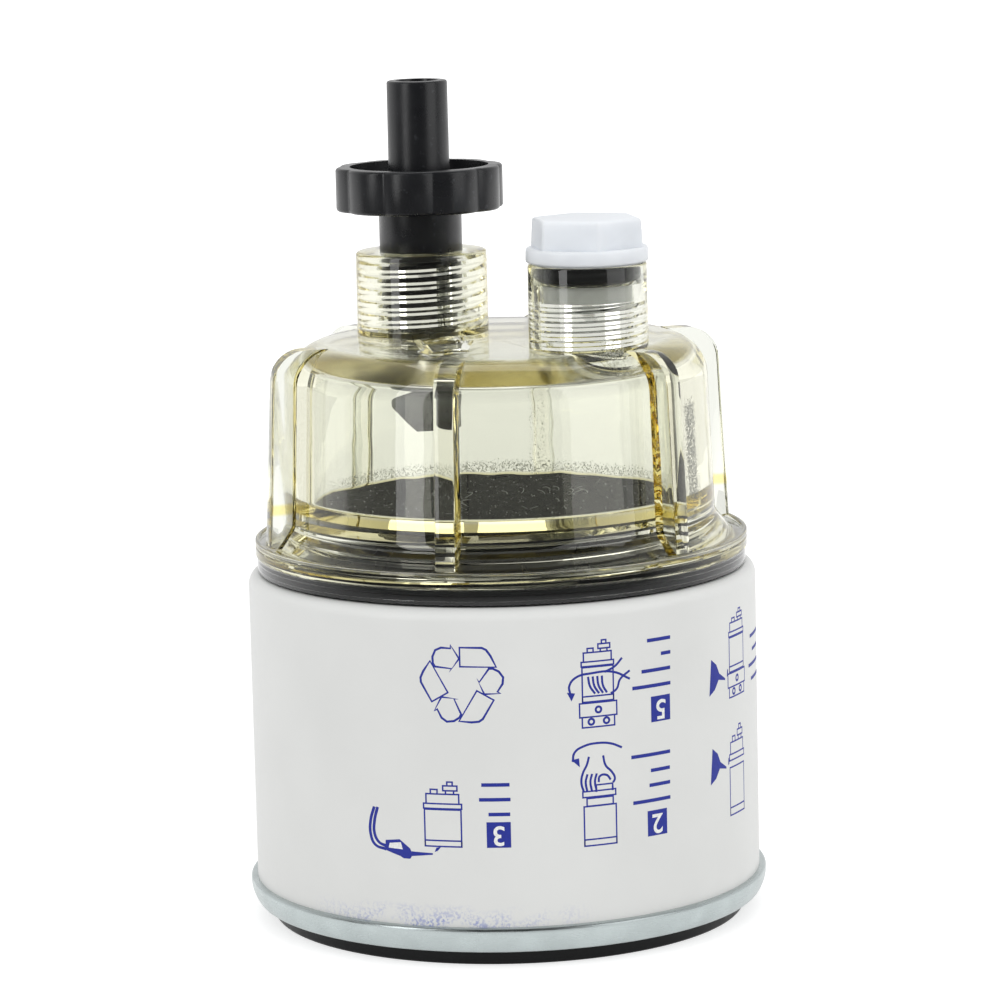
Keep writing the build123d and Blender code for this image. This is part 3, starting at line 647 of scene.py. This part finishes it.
class SEPARATOR_OT_neck(bpy.types.Operator):
    """Build the threaded neck under the bowl, and its seals"""
    bl_idname = "separator.neck"
    bl_label = "Threaded neck and seals"

    def lint(self):
        """Specks and short curled fibres that lie on the neck's end."""
        bm, chance = bmesh.new(), random.Random(11)
        for index in range(150):
            reach, turn = 27.0 * math.sqrt(chance.random()), chance.uniform(0, 2 * math.pi)
            spot = Vector((reach * math.cos(turn), reach * math.sin(turn), NECK_END + 0.04)) * MM
            size = chance.uniform(0.06, 0.13) * MM
            bmesh.ops.create_icosphere(bm, subdivisions=1, radius=size, matrix=Matrix.Translation(spot))
        for index in range(16):
            bit = bmesh.new()
            bend, side = chance.uniform(0.5, 1.6), chance.uniform(0, 2 * math.pi)
            bmesh.ops.create_circle(bit, cap_ends=True, segments=5, radius=0.05 * MM,
                                    matrix=Matrix.Translation((bend * MM, 0, 0))
                                    @ Matrix.Rotation(math.pi / 2, 4, "X"))
            swept(bit, bit.faces[:], chance.uniform(1.0, 2.6), 6, dvec=(0, 0, 0.05 * MM))
            place = Vector((chance.uniform(-6, 13), chance.uniform(-18, 12), NECK_END + 0.1)) * MM
            way = Matrix.Rotation(side, 4, "Z") @ Matrix.Rotation(0.35, 4, "X")
            bmesh.ops.transform(bit, matrix=Matrix.Translation(place) @ way, verts=bit.verts[:])
            bmesh.ops.recalc_face_normals(bit, faces=bit.faces[:])
            mesh = bpy.data.meshes.new("fibre")
            bit.to_mesh(mesh)
            bm.from_mesh(mesh)
            bit.free()
            bpy.data.meshes.remove(mesh)
        return bm

    def execute(self, context):
        settings = context.scene.separator_bowl
        crest = settings.bore / MM - 0.4
        over = NECK_END + 1.0
        neck = solid("threaded_neck", screw(
            crest, crest - 1.0, settings.pitch / MM, 52.0, NECK_END, 192, land=0.14))
        carve(neck, turned([
            (0.0, 51.0), (33.0, 51.0), (33.0, NECK_END - 3.1), (29.9, NECK_END), (29.9, over), (0.0, over),
        ]), "INTERSECT")
        carve(neck, turned([(0.0, 50.65), (38.9, 50.65), (38.9, 53.65), (0.0, 53.65)],
                           ((1, 0.4, 3), (2, 0.4, 3))), "UNION")
        carve(neck, turned([(0.0, 49.0), (28.6, 49.0), (28.6, NECK_END - 2.0), (0.0, NECK_END - 2.0)],
                           ((2, 0.5, 3),)))
        for index in range(12):
            carve(neck, spun(rod(1.5, NECK_END - 4.0, NECK_END + 2.0, (26.5, 0.0), 32), 30.0 * index))
        dress(neck, dusty_nylon(), "filter", ("thread_neck",))
        neck.data.materials.append(black_nylon(context.scene.separator_valve.nylon))
        for face in neck.data.polygons:
            face.material_index = int(face.center.xy.length > (crest - 1.4) * MM)
        dress(solid("neck_lint", self.lint()), paper_lint(), "filter")
        rubber = nitrile_rubber(context.scene.separator_can.rubber)
        # Two fine mould lines run round the seal
        seal = solid("bowl_seal_ring", turned([
            (35.6, 56.0), (38.75, 56.0), (38.75, 56.75), (38.6, 56.85), (38.75, 56.95), (38.75, 57.65),
            (38.6, 57.75), (38.75, 57.85), (38.75, 58.5), (35.6, 58.5),
        ], [(i, 0.35, 3) for i in (0, 1, 8, 9)]))
        dress(seal, rubber, "bowl_rise", ("bowl_seal",))
        clothe(rubber, "neck_gasket", "grommet_seal")
        return {"FINISHED"}


class SEPARATOR_OT_valve(bpy.types.Operator):
    """Build the black drain valve with its lobed handwheel and hose spout"""
    bl_idname = "separator.valve"
    bl_label = "Drain valve"

    def wheel(self, settings):
        """The handwheel's lobed prism, made of one arc repeated round its axis."""
        radius, lobe, count = settings.wheel / MM, settings.lobe / MM, settings.lobes
        offset, half = radius - lobe, math.pi / count
        valley = offset * math.cos(half) + math.sqrt(lobe ** 2 - (offset * math.sin(half)) ** 2)
        sweep = math.atan2(valley * math.sin(half), valley * math.cos(half) - offset)
        bm = bmesh.new()
        start = bm.verts.new(((offset + lobe * math.cos(sweep)) * MM, -lobe * math.sin(sweep) * MM, 0.112))
        swept(bm, [start], 2 * sweep, 14, (offset * MM, 0, 0))
        swept(bm, bm.verts[:] + bm.edges[:], 2 * math.pi * (count - 1) / count, count - 1, use_duplicate=True)
        bmesh.ops.remove_doubles(bm, verts=bm.verts[:], dist=2e-6)
        bmesh.ops.contextual_create(bm, geom=bm.edges[:])
        raised(bm, bm.faces[:], (0, 0, 7.0))
        valleys = [e for e in bm.edges if not level(e) and e.verts[0].co.xy.length < (valley + 0.05) * MM]
        softened(bm, valleys, 0.30, 3)
        softened(bm, [e for e in bm.edges if level(e)], 0.55, 4)
        return moved(spun(bm, 299.0), *DRAIN_AT)

    def execute(self, context):
        settings = context.scene.separator_valve
        spout, bore, stem = settings.spout / MM, settings.bore / MM, settings.stem / MM
        valve = solid("drain_valve_black", self.wheel(settings))
        cup = turned([(0.0, 114.2), (11.0, 114.2), (11.15, 120.0), (0.0, 120.0)], ((1, 0.5, 3),),
                     96, DRAIN_AT)
        tube = turned([(0.0, 112.6), (spout + 0.08, 112.6), (spout, 132.6), (0.0, 132.6)],
                      ((2, 0.4, 3),), 96, DRAIN_AT)
        collar = turned([(0.0, 104.2), (6.65, 104.2), (6.65, 112.8), (0.0, 112.8)], ((1, 0.3, 2),),
                        96, DRAIN_AT)
        thread = screw(stem, stem - 0.62, settings.pitch / MM, 96.0, 104.25, 96, DRAIN_AT, 0.10, 0.50)
        nose, groove = 5.65, 4.65
        tail = turned([(0.0, 78.0), (nose, 78.0), (nose, 90.25), (groove, 90.25), (groove, 91.55),
                       (nose, 91.55), (nose, 96.05), (0.0, 96.05)], (), 96, DRAIN_AT)
        channel = turned([(0.0, 91.975), (bore, 91.975), (bore, 132.1), (bore + 0.35, 133.5),
                          (0.0, 133.5)], (), 64, DRAIN_AT)
        window = moved(spun(rod(1.8, -2 * nose, 2 * nose, steps=32), 90, "Y"), *DRAIN_AT, 93.775)
        wedge = spun(block(2 * nose, 4 * nose, nose), 40, "Y")
        moved(wedge, DRAIN_AT[0] - nose, DRAIN_AT[1], 78.0)
        carve(valve, cup)
        for part in (tube, collar, thread, tail):
            carve(valve, part, "UNION")
        for part in (channel, window, wedge):
            carve(valve, part)
        dress(valve, bpy.data.materials["black_nylon_moulded"], "drain_valve", ("drain_valve",))
        ring = solid("drain_ring", turned_ring(5.3, 90.9, 0.6, DRAIN_AT))
        rubber = bpy.data.materials["nitrile_rubber_pressed"]
        dress(ring, rubber, "drain_rise", ("drain_o_ring",))
        return {"FINISHED"}


class SEPARATOR_OT_plug(bpy.types.Operator):
    """Build the pale hex plug with its round flange, and its ring"""
    bl_idname = "separator.plug"
    bl_label = "Port plug"

    def head(self, flats):
        """The hexagon with its draft and soft top edge."""
        bm = bmesh.new()
        across = flats / math.cos(math.pi / 6)
        draft = 4.5 * math.tan(math.radians(3.0)) / math.cos(math.pi / 6)
        tall, top = 4.6, 112.4
        bmesh.ops.create_cone(bm, cap_ends=True, segments=6, radius1=across / 2 * MM,
                              radius2=(across / 2 - draft) * MM, depth=tall * MM)
        softened(bm, [e for e in bm.edges if not level(e)], 0.35, 3)
        softened(bm, [e for e in bm.edges if min(v.co.z for v in e.verts) > 0.002], 0.55, 4)
        return moved(spun(bm, 10.5), *PORT_AT, top - tall / 2)

    def execute(self, context):
        settings = context.scene.separator_plug
        flange, shank = settings.flange / MM, settings.shank / MM
        plug = solid("port_plug_pale", self.head(settings.flats / MM))
        for part in (
            turned([(0.0, 105.6), (flange, 105.6), (flange - 0.1, 107.9), (0.0, 107.9)],
                   ((1, 0.35, 3), (2, 0.4, 3)), 128, PORT_AT),
            turned([(0.0, 102.1), (5.75, 102.1), (5.75, 105.1), (8.4, 105.1), (8.4, 105.7),
                    (0.0, 105.7)], (), 96, PORT_AT),
            screw(shank, shank - 0.55, settings.pitch / MM, 94.55, 99.4, 96, PORT_AT),
            rod(shank + 0.07, 99.2, 102.2, PORT_AT),
        ):
            carve(plug, part, "UNION")
        carve(plug, rod(4.2, 93.0, 105.6, PORT_AT, 64))
        dress(plug, natural_nylon(settings.nylon), "port_plug", ("port_plug",))
        ring = solid("plug_ring", turned_ring(7.15, 103.7, 1.35, PORT_AT))
        rubber = bpy.data.materials["nitrile_rubber_pressed"]
        dress(ring, rubber, "plug_rise", ("plug_o_ring",))
        return {"FINISHED"}


class SEPARATOR_OT_can(bpy.types.Operator):
    """Build the enamelled can with its rolled lid, gasket and threaded plate"""
    bl_idname = "separator.can"
    bl_label = "Can, lid and gasket"

    def execute(self, context):
        settings = context.scene.separator_can
        can = settings.radius / MM
        shell = turned([
            (can - 0.8, 4.14), (can + 0.55, 4.14), (can + 0.55, 4.94), (can, 4.94), (can, 55.95),
            (32.1, 55.95), (32.1, 55.15), (can - 0.8, 55.15),
        ], ((4, settings.shoulder / MM, 8), (7, 1.2, 4)), 256)
        dress(solid("enamelled_can", shell), enamel(settings.paint), "filter",
              ("can_shell",))
        lid = turned([
            (25.5, 2.5), (33.2, 2.5), (33.2, 5.0), (38.0, 5.0), (38.0, 2.5), (40.35, 2.5),
            (41.55, 4.55), (41.55, 6.6), (40.5, 6.6), (40.5, 6.0), (41.05, 6.0), (41.05, 3.812),
            (40.05, 3.1), (38.6, 3.1), (38.6, 5.6), (32.6, 5.6), (32.6, 3.1), (25.5, 3.1),
        ], ((7, 0.45, 4), (6, 1.2, 5), (5, 0.6, 4), (14, 0.6, 3), (15, 0.6, 3), (1, 0.25, 2),
            (4, 0.25, 2)), 256)
        dress(solid("rolled_lid", lid), zinc_plate(settings.zinc), "filter", ("seaming_lid",))
        gasket = turned([(33.3, 0.0), (37.9, 0.0), (37.9, 5.0), (33.3, 5.0)],
                        ((0, 0.46, 3), (1, 0.46, 3)), 256)
        dress(solid("sealing_gasket", gasket), bpy.data.materials["nitrile_rubber_pressed"], "filter",
              ("mounting_gasket",))
        self.plate()
        return {"FINISHED"}

    def plate(self):
        """The thick plate with its threaded hub and its ring of inlet holes."""
        plate = solid("threaded_plate", turned([
            (0.0, 3.1), (32.35, 3.1), (32.35, 7.1), (12.5, 7.1), (12.5, 14.4), (0.0, 14.4),
        ], ((1, 0.3, 2), (2, 0.3, 2), (3, 0.8, 3), (4, 0.6, 3)), 192))
        carve(plate, screw(9.85, 9.2, 1.5, 2.0, 15.5, 96))
        wide = 10.3
        for height, way in ((3.05, 0.9), (14.45, -0.9)):
            cone = [(0.0, height), (wide, height), (wide - 0.9, height + way), (0.0, height + way)]
            carve(plate, turned(cone, (), 96))
        for index in range(8):
            hole = turned([(0.0, 2.0), (3.9, 2.0), (3.9, 3.0), (3.2, 3.7), (3.2, 8.0), (0.0, 8.0)],
                          (), 48, (19.2, 0.0))
            carve(plate, spun(hole, 45.0 * index))
        steel = bare_metal("plate_steel_turned", "#8C8F92", 2.0, 0.28, 0.42)
        dress(plate, steel, "filter", ("nut_plate",))


class SEPARATOR_OT_print(bpy.types.Operator):
    """Print the blue pictograms, numbered squares and plain bars round the can"""
    bl_idname = "separator.print"
    bl_label = "Print"

    # Places are in millimetres: along the can's wall from its front, and up.
    # Parts of a small filter, as shares of its half width and height: left, low, right, high
    WHOLE = ((-1.0, 0.0, 1.0, 1.0),)
    CAN = ((-0.96, 0.0, 0.96, 0.57), (-0.96, 0.0, 0.96, 0.09))
    TOP = ((-1.0, 0.585, 1.0, 0.66), (-0.86, 0.66, 0.86, 0.81), (-0.62, 0.81, -0.26, 0.88),
           (0.18, 0.81, 0.60, 0.865), (0.04, 0.865, 0.78, 0.94), (0.26, 0.94, 0.54, 1.0))
    HEAD = ((-1.15, -0.25, 1.15, -0.02), (-1.0, -0.42, 1.0, -0.25))
    # A square's number and middle, with half its width and height; a bar's ends and height
    SQUARES, SQUARE = (("5", 25.5, 38.6), ("2", 24.5, 20.8), ("3", -1.4, 21.1)), (1.85, 2.0)
    BARS = (
        (23.1, 27.6, 49.4), (25.7, 27.6, 47.1), (22.0, 27.5, 44.7), (20.3, 27.5, 42.3),
        (19.9, 27.2, 31.6), (23.4, 27.1, 29.1), (23.1, 27.1, 26.8), (20.1, 27.1, 24.4),
        (-3.9, 0.4, 28.9), (-4.3, 0.5, 26.6), (-2.9, 0.4, 24.3),
        (52.0, 59.0, 45.3), (53.5, 59.0, 43.0), (51.0, 59.0, 40.7), (52.5, 59.0, 38.4),
    )

    def line(self, *points, closed=False, smooth=False):
        """One printed line through places on the wall."""
        spline = self.curve.splines.new("BEZIER")
        spline.bezier_points.add(len(points) - 1)
        for knot, (along, up) in zip(spline.bezier_points, points):
            knot.co = (along * MM, up * MM, 0.0)
            knot.handle_left_type = knot.handle_right_type = "AUTO" if smooth else "VECTOR"
        spline.use_cyclic_u = closed

    def bend(self, *points):
        """One printed line that curves through its places."""
        self.line(*points, smooth=True)

    def fill(self, *points):
        """One solid printed patch."""
        self.fills.faces.new([self.fills.verts.new((a * MM, u * MM, self.layer)) for a, u in points])

    def box(self, left, low, right, high):
        """The corners of a rectangle, in order."""
        return (left, low), (right, low), (right, high), (left, high)

    def blocks(self, along, up, half, tall, rows):
        """Outlined rectangles of a small filter."""
        for left, low, right, high in rows:
            self.line(*self.box(along + left * half, up + low * tall, along + right * half, up + high * tall),
                      closed=True)

    def rings(self, *places):
        """Small bolt holes."""
        size = 0.45
        for along, up in places:
            self.line((along - size, up), (along, up + size), (along + size, up), (along, up - size),
                      closed=True, smooth=True)

    def emblem(self):
        """A plain ring of three outlined arrows and bands."""
        band = [(-0.2, 6.0), (3.5, 5.95), (4.2, 5.6), (4.9, 4.6), (5.8, 2.7), (-0.2, 2.8)]
        arrow = [(-0.3, 4.15), (-1.7, 6.4), (-1.7, 5.85), (-3.3, 5.95), (-4.3, 5.5), (-4.8, 4.4),
                 (-4.75, 3.3), (-4.4, 2.75), (-1.6, 2.45), (-1.95, 1.9)]
        for index in range(3):
            turn = Matrix.Rotation(2 * math.pi / 3 * index, 2) * 0.92
            for shape in (band, arrow):
                placed = [turn @ Vector(place) for place in shape]
                self.line(*((-6.55 + p.x, 44.65 + p.y) for p in placed), closed=True)

    def filling(self):
        """A small filter under a hose nozzle with a drop."""
        self.blocks(-10.0, 19.2, 3.0, 10.1, self.CAN + self.TOP)
        self.fill((-19.6, 18.5), (-19.3, 18.0), (-17.0, 17.3), (-16.5, 17.0), (-15.4, 17.0), (-15.1, 17.45),
                  (-11.7, 17.85), (-11.7, 18.1), (-15.2, 18.2), (-15.4, 18.65), (-17.1, 19.95), (-19.5, 19.65))
        self.fill((-11.4, 18.3), (-10.9, 18.5), (-10.4, 19.1), (-11.1, 19.0))
        for shift in (-0.08, 0.08):
            self.bend((-21.4 + shift, 24.7), (-22.1 + shift, 22.5), (-22.15 + shift, 20.3),
                      (-21.4 + shift, 18.75), (-19.4, 18.2 + shift))
            self.bend((-20.8 + shift, 24.7), (-21.4 + shift, 22.5), (-21.45 + shift, 20.5),
                      (-20.7 + shift, 19.2), (-19.4, 18.7 + shift))

    def turning(self):
        """A hand that turns a bowl on a can, under a curved arrow."""
        self.blocks(14.5, 18.6, 2.75, 10.8, self.CAN)
        self.blocks(14.5, 24.8, 2.15, 1.2, self.WHOLE)
        self.blocks(14.4, 26.2, 2.7, 0.9, self.WHOLE)
        self.line((13.9, 26.9), (13.9, 28.0), (16.6, 28.0), (16.6, 26.9))
        self.bend((12.8, 32.5), (12.4, 31.2), (11.8, 30.1), (11.5, 28.6), (11.9, 27.0))
        self.bend((15.1, 32.5), (15.5, 30.9), (16.5, 29.8), (17.0, 28.7), (16.7, 28.1))
        for index in range(3):
            self.bend(*((along + 0.75 * index, up) for along, up in ((12.5, 29.8), (12.2, 28.6), (12.4, 27.2))))
        self.bend((14.3, 28.4), (14.5, 29.3), (15.6, 29.4), (16.3, 28.6))
        self.bend((18.3, 33.4), (16.5, 34.2), (14.3, 34.5), (12.0, 34.2), (10.5, 33.3), (10.2, 31.9))
        self.fill((10.0, 32.2), (11.3, 31.0), (11.2, 32.4))

    def fitting(self):
        """A hand that turns the whole filter on its head, with a curved arrow."""
        self.blocks(14.5, 41.0, 2.65, 9.4, self.CAN + self.TOP + self.HEAD)
        self.rings((13.3, 37.9), (15.8, 37.9), (14.5, 39.7))
        for index in range(4):
            self.bend((12.9 + 0.75 * index, 44.9), (13.2 + 0.7 * index, 43.4), (14.0 + 0.65 * index, 42.2))
        self.bend((16.6, 42.0), (17.6, 42.6), (18.2, 44.0), (19.9, 45.2))
        self.bend((15.6, 45.4), (17.3, 46.1), (18.6, 47.3))
        self.bend((19.9, 43.9), (17.0, 45.3), (13.5, 45.4), (10.9, 44.9), (9.9, 43.7), (10.0, 42.5))
        self.fill((9.5, 42.7), (10.2, 41.3), (10.8, 42.5))

    def pouring(self):
        """Two slim filters with funnels, round the can's right side."""
        self.blocks(45.3, 41.3, 2.9, 9.6, self.CAN + self.TOP + self.HEAD)
        self.rings((44.0, 38.1), (46.6, 38.1), (45.3, 40.0))
        self.blocks(44.9, 18.5, 2.8, 13.4, self.CAN)
        self.blocks(44.9, 19.9, 2.8, 12.6, self.TOP)
        for up in (41.3, 27.2):
            self.fill((36.4, up - 2.7), (37.9, up - 1.9), (39.0, up - 0.5), (41.0, up - 0.9),
                      (41.0, up - 0.6), (39.2, up + 0.5), (38.4, up + 2.0), (37.0, up + 3.0))
            self.fill((41.6, up - 0.5), (42.0, up - 0.3), (42.0, up + 0.7), (41.7, up + 0.6))

    def wrapped(self, bm, radius):
        """The flat print, cut into short steps and laid round the can."""
        low, high = min(v.co.x for v in bm.verts), max(v.co.x for v in bm.verts)
        step = 0.8 * MM
        for index in range(1, math.ceil((high - low) / step)):
            bmesh.ops.bisect_plane(bm, geom=bm.verts[:] + bm.edges[:] + bm.faces[:], dist=1e-9,
                                   plane_co=(low + index * step, 0, 0), plane_no=(1, 0, 0))
        for vert in bm.verts:
            turn, out = vert.co.x / radius, radius + vert.co.z
            vert.co = (out * math.sin(turn), -out * math.cos(turn), vert.co.y)
        bmesh.ops.recalc_face_normals(bm, faces=bm.faces[:])
        for face in bm.faces:
            if abs(face.normal.z) < 0.5 and face.normal.dot(Vector((*face.calc_center_median().xy, 0.0))) < 0:
                face.normal_flip()
        return bm

    def flattened(self, name, data):
        """A curve or a text as a mesh in the flat layout."""
        holder = bpy.data.objects.new(name, data)
        bpy.context.scene.collection.objects.link(holder)
        mesh = meshed(holder)
        bpy.data.objects.remove(holder)
        return mesh

    def execute(self, context):
        settings = context.scene.separator_can
        self.layer = 0.02 * MM
        self.curve = bpy.data.curves.new("print_lines", "CURVE")
        self.curve.dimensions, self.curve.resolution_u = "3D", 6
        self.curve.bevel_depth, self.curve.bevel_resolution = settings.line, 0
        self.fills = bmesh.new()
        for draw in (self.emblem, self.filling, self.turning, self.fitting, self.pouring):
            draw()
        for left, right, up in self.BARS:
            self.fill(*self.box(left, up - 0.28, right, up + 0.28))
        half, tall = self.SQUARE
        for _, along, up in self.SQUARES:
            self.fill(*self.box(along - half, up - tall, along + half, up + tall))
        lines = self.flattened("print_lines", self.curve)
        lines.transform(Matrix.Diagonal((1.0, 1.0, self.layer / settings.line, 1.0)))
        self.fills.from_mesh(lines)
        dress(solid("blue_print", self.wrapped(self.fills, settings.radius)),
              printing_ink("blue_ink_printed", settings.ink), "filter")
        digits = bmesh.new()
        for body, along, up in self.SQUARES:
            text = bpy.data.curves.new("number", "FONT")
            text.body, text.size, text.offset = body, 4.3 * MM, 0.06 * MM
            text.align_x, text.align_y = "CENTER", "CENTER"
            figure = self.flattened("number", text)
            figure.transform(Matrix.Translation((along * MM, up * MM, 2 * self.layer))
                             @ Matrix.Rotation(math.pi, 4, "Z"))
            digits.from_mesh(figure)
        # The pale window in the nozzle's handle
        digits.faces.new([digits.verts.new((along * MM, up * MM, 2 * self.layer)) for along, up in (
            (-19.0, 18.5), (-16.6, 18.4), (-16.9, 19.5), (-18.8, 19.25))])
        dress(solid("pale_numbers", self.wrapped(digits, settings.radius)),
              printing_ink("pale_ink_printed", settings.paint), "filter")
        return {"FINISHED"}


class SEPARATOR_OT_element(bpy.types.Operator):
    """Give the filter element inside the can its finishes"""
    bl_idname = "separator.element"
    bl_label = "Filter element"

    def execute(self, context):
        tin = bare_metal("tin_plated_sheet_pressed", "#C9C9C4", 6.0, 0.22, 0.34)
        spring = bare_metal("spring_steel_blued", "#5B5F66", 3.0, 0.30, 0.45)
        clothe(tin, "element_cap_lower", "element_cap_upper", "centre_tube", "media_seam_clip")
        clothe(spring, "support_spring")
        clothe(filter_paper(), "pleated_media")
        return {"FINISHED"}


class SEPARATOR_OT_stage(bpy.types.Operator):
    """Set the pale floor, the soft boxes, the background and the camera"""
    bl_idname = "separator.stage"
    bl_label = "Stage"

    def floor(self):
        """A wide pale paper sweep that glows behind the object and fades to the background."""
        bm = bmesh.new()
        bmesh.ops.create_circle(bm, cap_ends=True, segments=96, radius=4.0)
        floor = solid("floor", bm)
        material, add, spot = new_material("pale_paper_sweep")
        ray = add("LightPath").outputs
        depth = add("SeparateXYZ", spot).outputs["Y"]
        far = add("VectorMath LENGTH", spot).outputs["Value"]
        # What mirrors and glass find in the floor: full behind and close by, dim in front
        rear = add("MapRange", depth, -0.15, 0.05)
        near = add("MapRange", far, 0.20, 0.10)
        lit = add("Math MAXIMUM", rear, near)
        mirror = add("MapRange", lit, 0.0, 1.0, 0.12, 0.9)
        through = add("MapRange", lit, 0.0, 1.0, 0.9, 1.0)
        share = add("Mix FLOAT", ray["Is Transmission Ray"], {2: 1.0, 3: through})
        share = add("Mix FLOAT", ray["Is Glossy Ray"], {2: share, 3: mirror})
        seen = ray["Is Camera Ray"]
        for other in (ray["Is Transmission Ray"], ray["Is Glossy Ray"]):
            seen = add("Math MAXIMUM", seen, other)
        glow = add("MapRange", far, 0.15, 1.4, 0.62, 0.95)
        for part in (seen, share):
            glow = add("Math MULTIPLY", glow, part)
        fibre = add("TexNoise", spot, {"Scale": grain(3.0), "Detail": 2.0})
        tone = add("MapRange", fibre, 0.0, 1.0, 0.60, 0.63)
        tone = add("Math MULTIPLY", tone, share)
        matt = add("BsdfDiffuse", add("CombineColor", tone, tone, tone))
        light = add("Emission", (1.0, 1.0, 1.0, 1.0), glow)
        add("OutputMaterial", add("AddShader", matt, light))
        floor.data.materials.append(material)

    def world(self, level):
        """A white tent: full for the camera, dimmer in front and above for mirrors and glass."""
        world = bpy.data.worlds.new("light_tent")
        bpy.context.scene.world = world
        world.use_nodes = True
        world.node_tree.nodes.clear()
        add = partial(node, world.node_tree)
        ray = add("LightPath").outputs
        apart = add("SeparateXYZ", add("TexCoord").outputs["Generated"])
        rear = add("MapRange", apart.outputs["Y"], -0.35, 0.25)
        mirror = add("MapRange", rear, 0.0, 1.0, 0.05, 0.9)
        through = add("MapRange", rear, 0.0, 1.0, 0.9, 1.0)
        dim = add("MapRange", apart.outputs["Z"], 0.35, 0.85, 1.0, 0.55)
        mirror = add("Math MULTIPLY", mirror, ray["Is Glossy Ray"])
        through = add("Math MULTIPLY", through, ray["Is Transmission Ray"])
        seen = add("Math MAXIMUM", mirror, through)
        seen = add("Math MULTIPLY", seen, dim)
        seen = add("Math MAXIMUM", seen, ray["Is Camera Ray"])
        rest = add("Math MULTIPLY", ray["Is Diffuse Ray"], 0.78 * level)
        power = add("Math MAXIMUM", seen, rest)
        shader = add("Background", (1.0, 1.0, 1.0, 1.0), power)
        add("OutputWorld", shader).is_active_output = True

    def lamp(self, name, azimuth, height, reach, wide, tall, power):
        """A soft box aimed at the object; azimuth 0 is the camera's side and grows to the right."""
        data = bpy.data.lights.new(name, "AREA")
        data.shape, data.size, data.size_y, data.energy = "RECTANGLE", wide, tall, power
        lamp = bpy.data.objects.new(name, data)
        turn = math.radians(azimuth)
        lamp.location = (reach * math.sin(turn), -reach * math.cos(turn), height)
        lamp.rotation_mode = "QUATERNION"
        lamp.rotation_quaternion = (Vector(lamp.location) - Vector((0, 0, 0.06))).to_track_quat("Z", "Y")
        bpy.context.scene.collection.objects.link(lamp)

    def camera(self, settings):
        """The camera, a long lens that looks a little down on the object's middle."""
        data = bpy.data.cameras.new("camera")
        data.lens, data.sensor_width = settings.lens, 36.0
        data.clip_start, data.clip_end = 0.05, 20.0
        camera = bpy.data.objects.new("camera", data)
        bpy.context.scene.collection.objects.link(camera)
        lift, middle = settings.elevation, Vector((0.04 * MM, 0, 66.06 * MM))
        camera.location = middle + Vector((0, -math.cos(lift), math.sin(lift))) * settings.distance
        camera.rotation_mode = "QUATERNION"
        camera.rotation_quaternion = (
            Matrix.Rotation(math.pi / 2 - lift, 3, "X") @ Matrix.Rotation(settings.roll, 3, "Z")
        ).to_quaternion()
        bpy.context.scene.camera = camera

    def execute(self, context):
        settings = context.scene.separator_stage
        self.floor()
        self.world(settings.level)
        self.lamp("soft_box_left", -48, 0.45, 1.0, 0.32, 1.0, 2.6 * settings.level)
        self.lamp("soft_box_right", 56, 0.45, 1.0, 0.75, 1.0, 2.9 * settings.level)
        self.lamp("soft_box_top", 170, 1.2, 0.4, 0.9, 0.6, 2.4 * settings.level)
        self.camera(settings)
        context.scene.view_settings.view_transform = "Standard"
        # Light passes many walls of the clear bowl before it leaves
        context.scene.cycles.max_bounces = 48
        context.scene.cycles.transmission_bounces = 48
        context.scene.cycles.glossy_bounces = 16
        return {"FINISHED"}


class SEPARATOR_PT_panel(bpy.types.Panel):
    bl_label = "Fuel Water Separator"
    bl_idname = "SEPARATOR_PT_panel"
    bl_space_type = "VIEW_3D"
    bl_region_type = "UI"
    bl_category = "Separator"

    def draw(self, context):
        for operator in OPERATORS:
            self.layout.operator(operator.bl_idname)
        for name, _ in GROUPS:
            settings = getattr(context.scene, "separator_" + name)
            box = self.layout.box()
            for key in settings.__annotations__:
                box.prop(settings, key)


OPERATORS = (
    SEPARATOR_OT_stage, SEPARATOR_OT_bowl, SEPARATOR_OT_neck, SEPARATOR_OT_valve,
    SEPARATOR_OT_plug, SEPARATOR_OT_can, SEPARATOR_OT_print, SEPARATOR_OT_element,
)
GROUPS = (
    ("bowl", BowlSettings), ("valve", ValveSettings), ("plug", PlugSettings),
    ("can", CanSettings), ("stage", StageSettings),
)


def register():
    for name, group in GROUPS:
        bpy.utils.register_class(group)
        setattr(bpy.types.Scene, "separator_" + name, bpy.props.PointerProperty(type=group))
    for shown in OPERATORS + (SEPARATOR_PT_panel,):
        bpy.utils.register_class(shown)


def unregister():
    for shown in reversed(OPERATORS + (SEPARATOR_PT_panel,)):
        bpy.utils.unregister_class(shown)
    for name, group in reversed(GROUPS):
        delattr(bpy.types.Scene, "separator_" + name)
        bpy.utils.unregister_class(group)


def main():
    register()
    for operator in OPERATORS:
        family, action = operator.bl_idname.split(".")
        getattr(getattr(bpy.ops, family), action)()


if __name__ == "__main__":
    main()
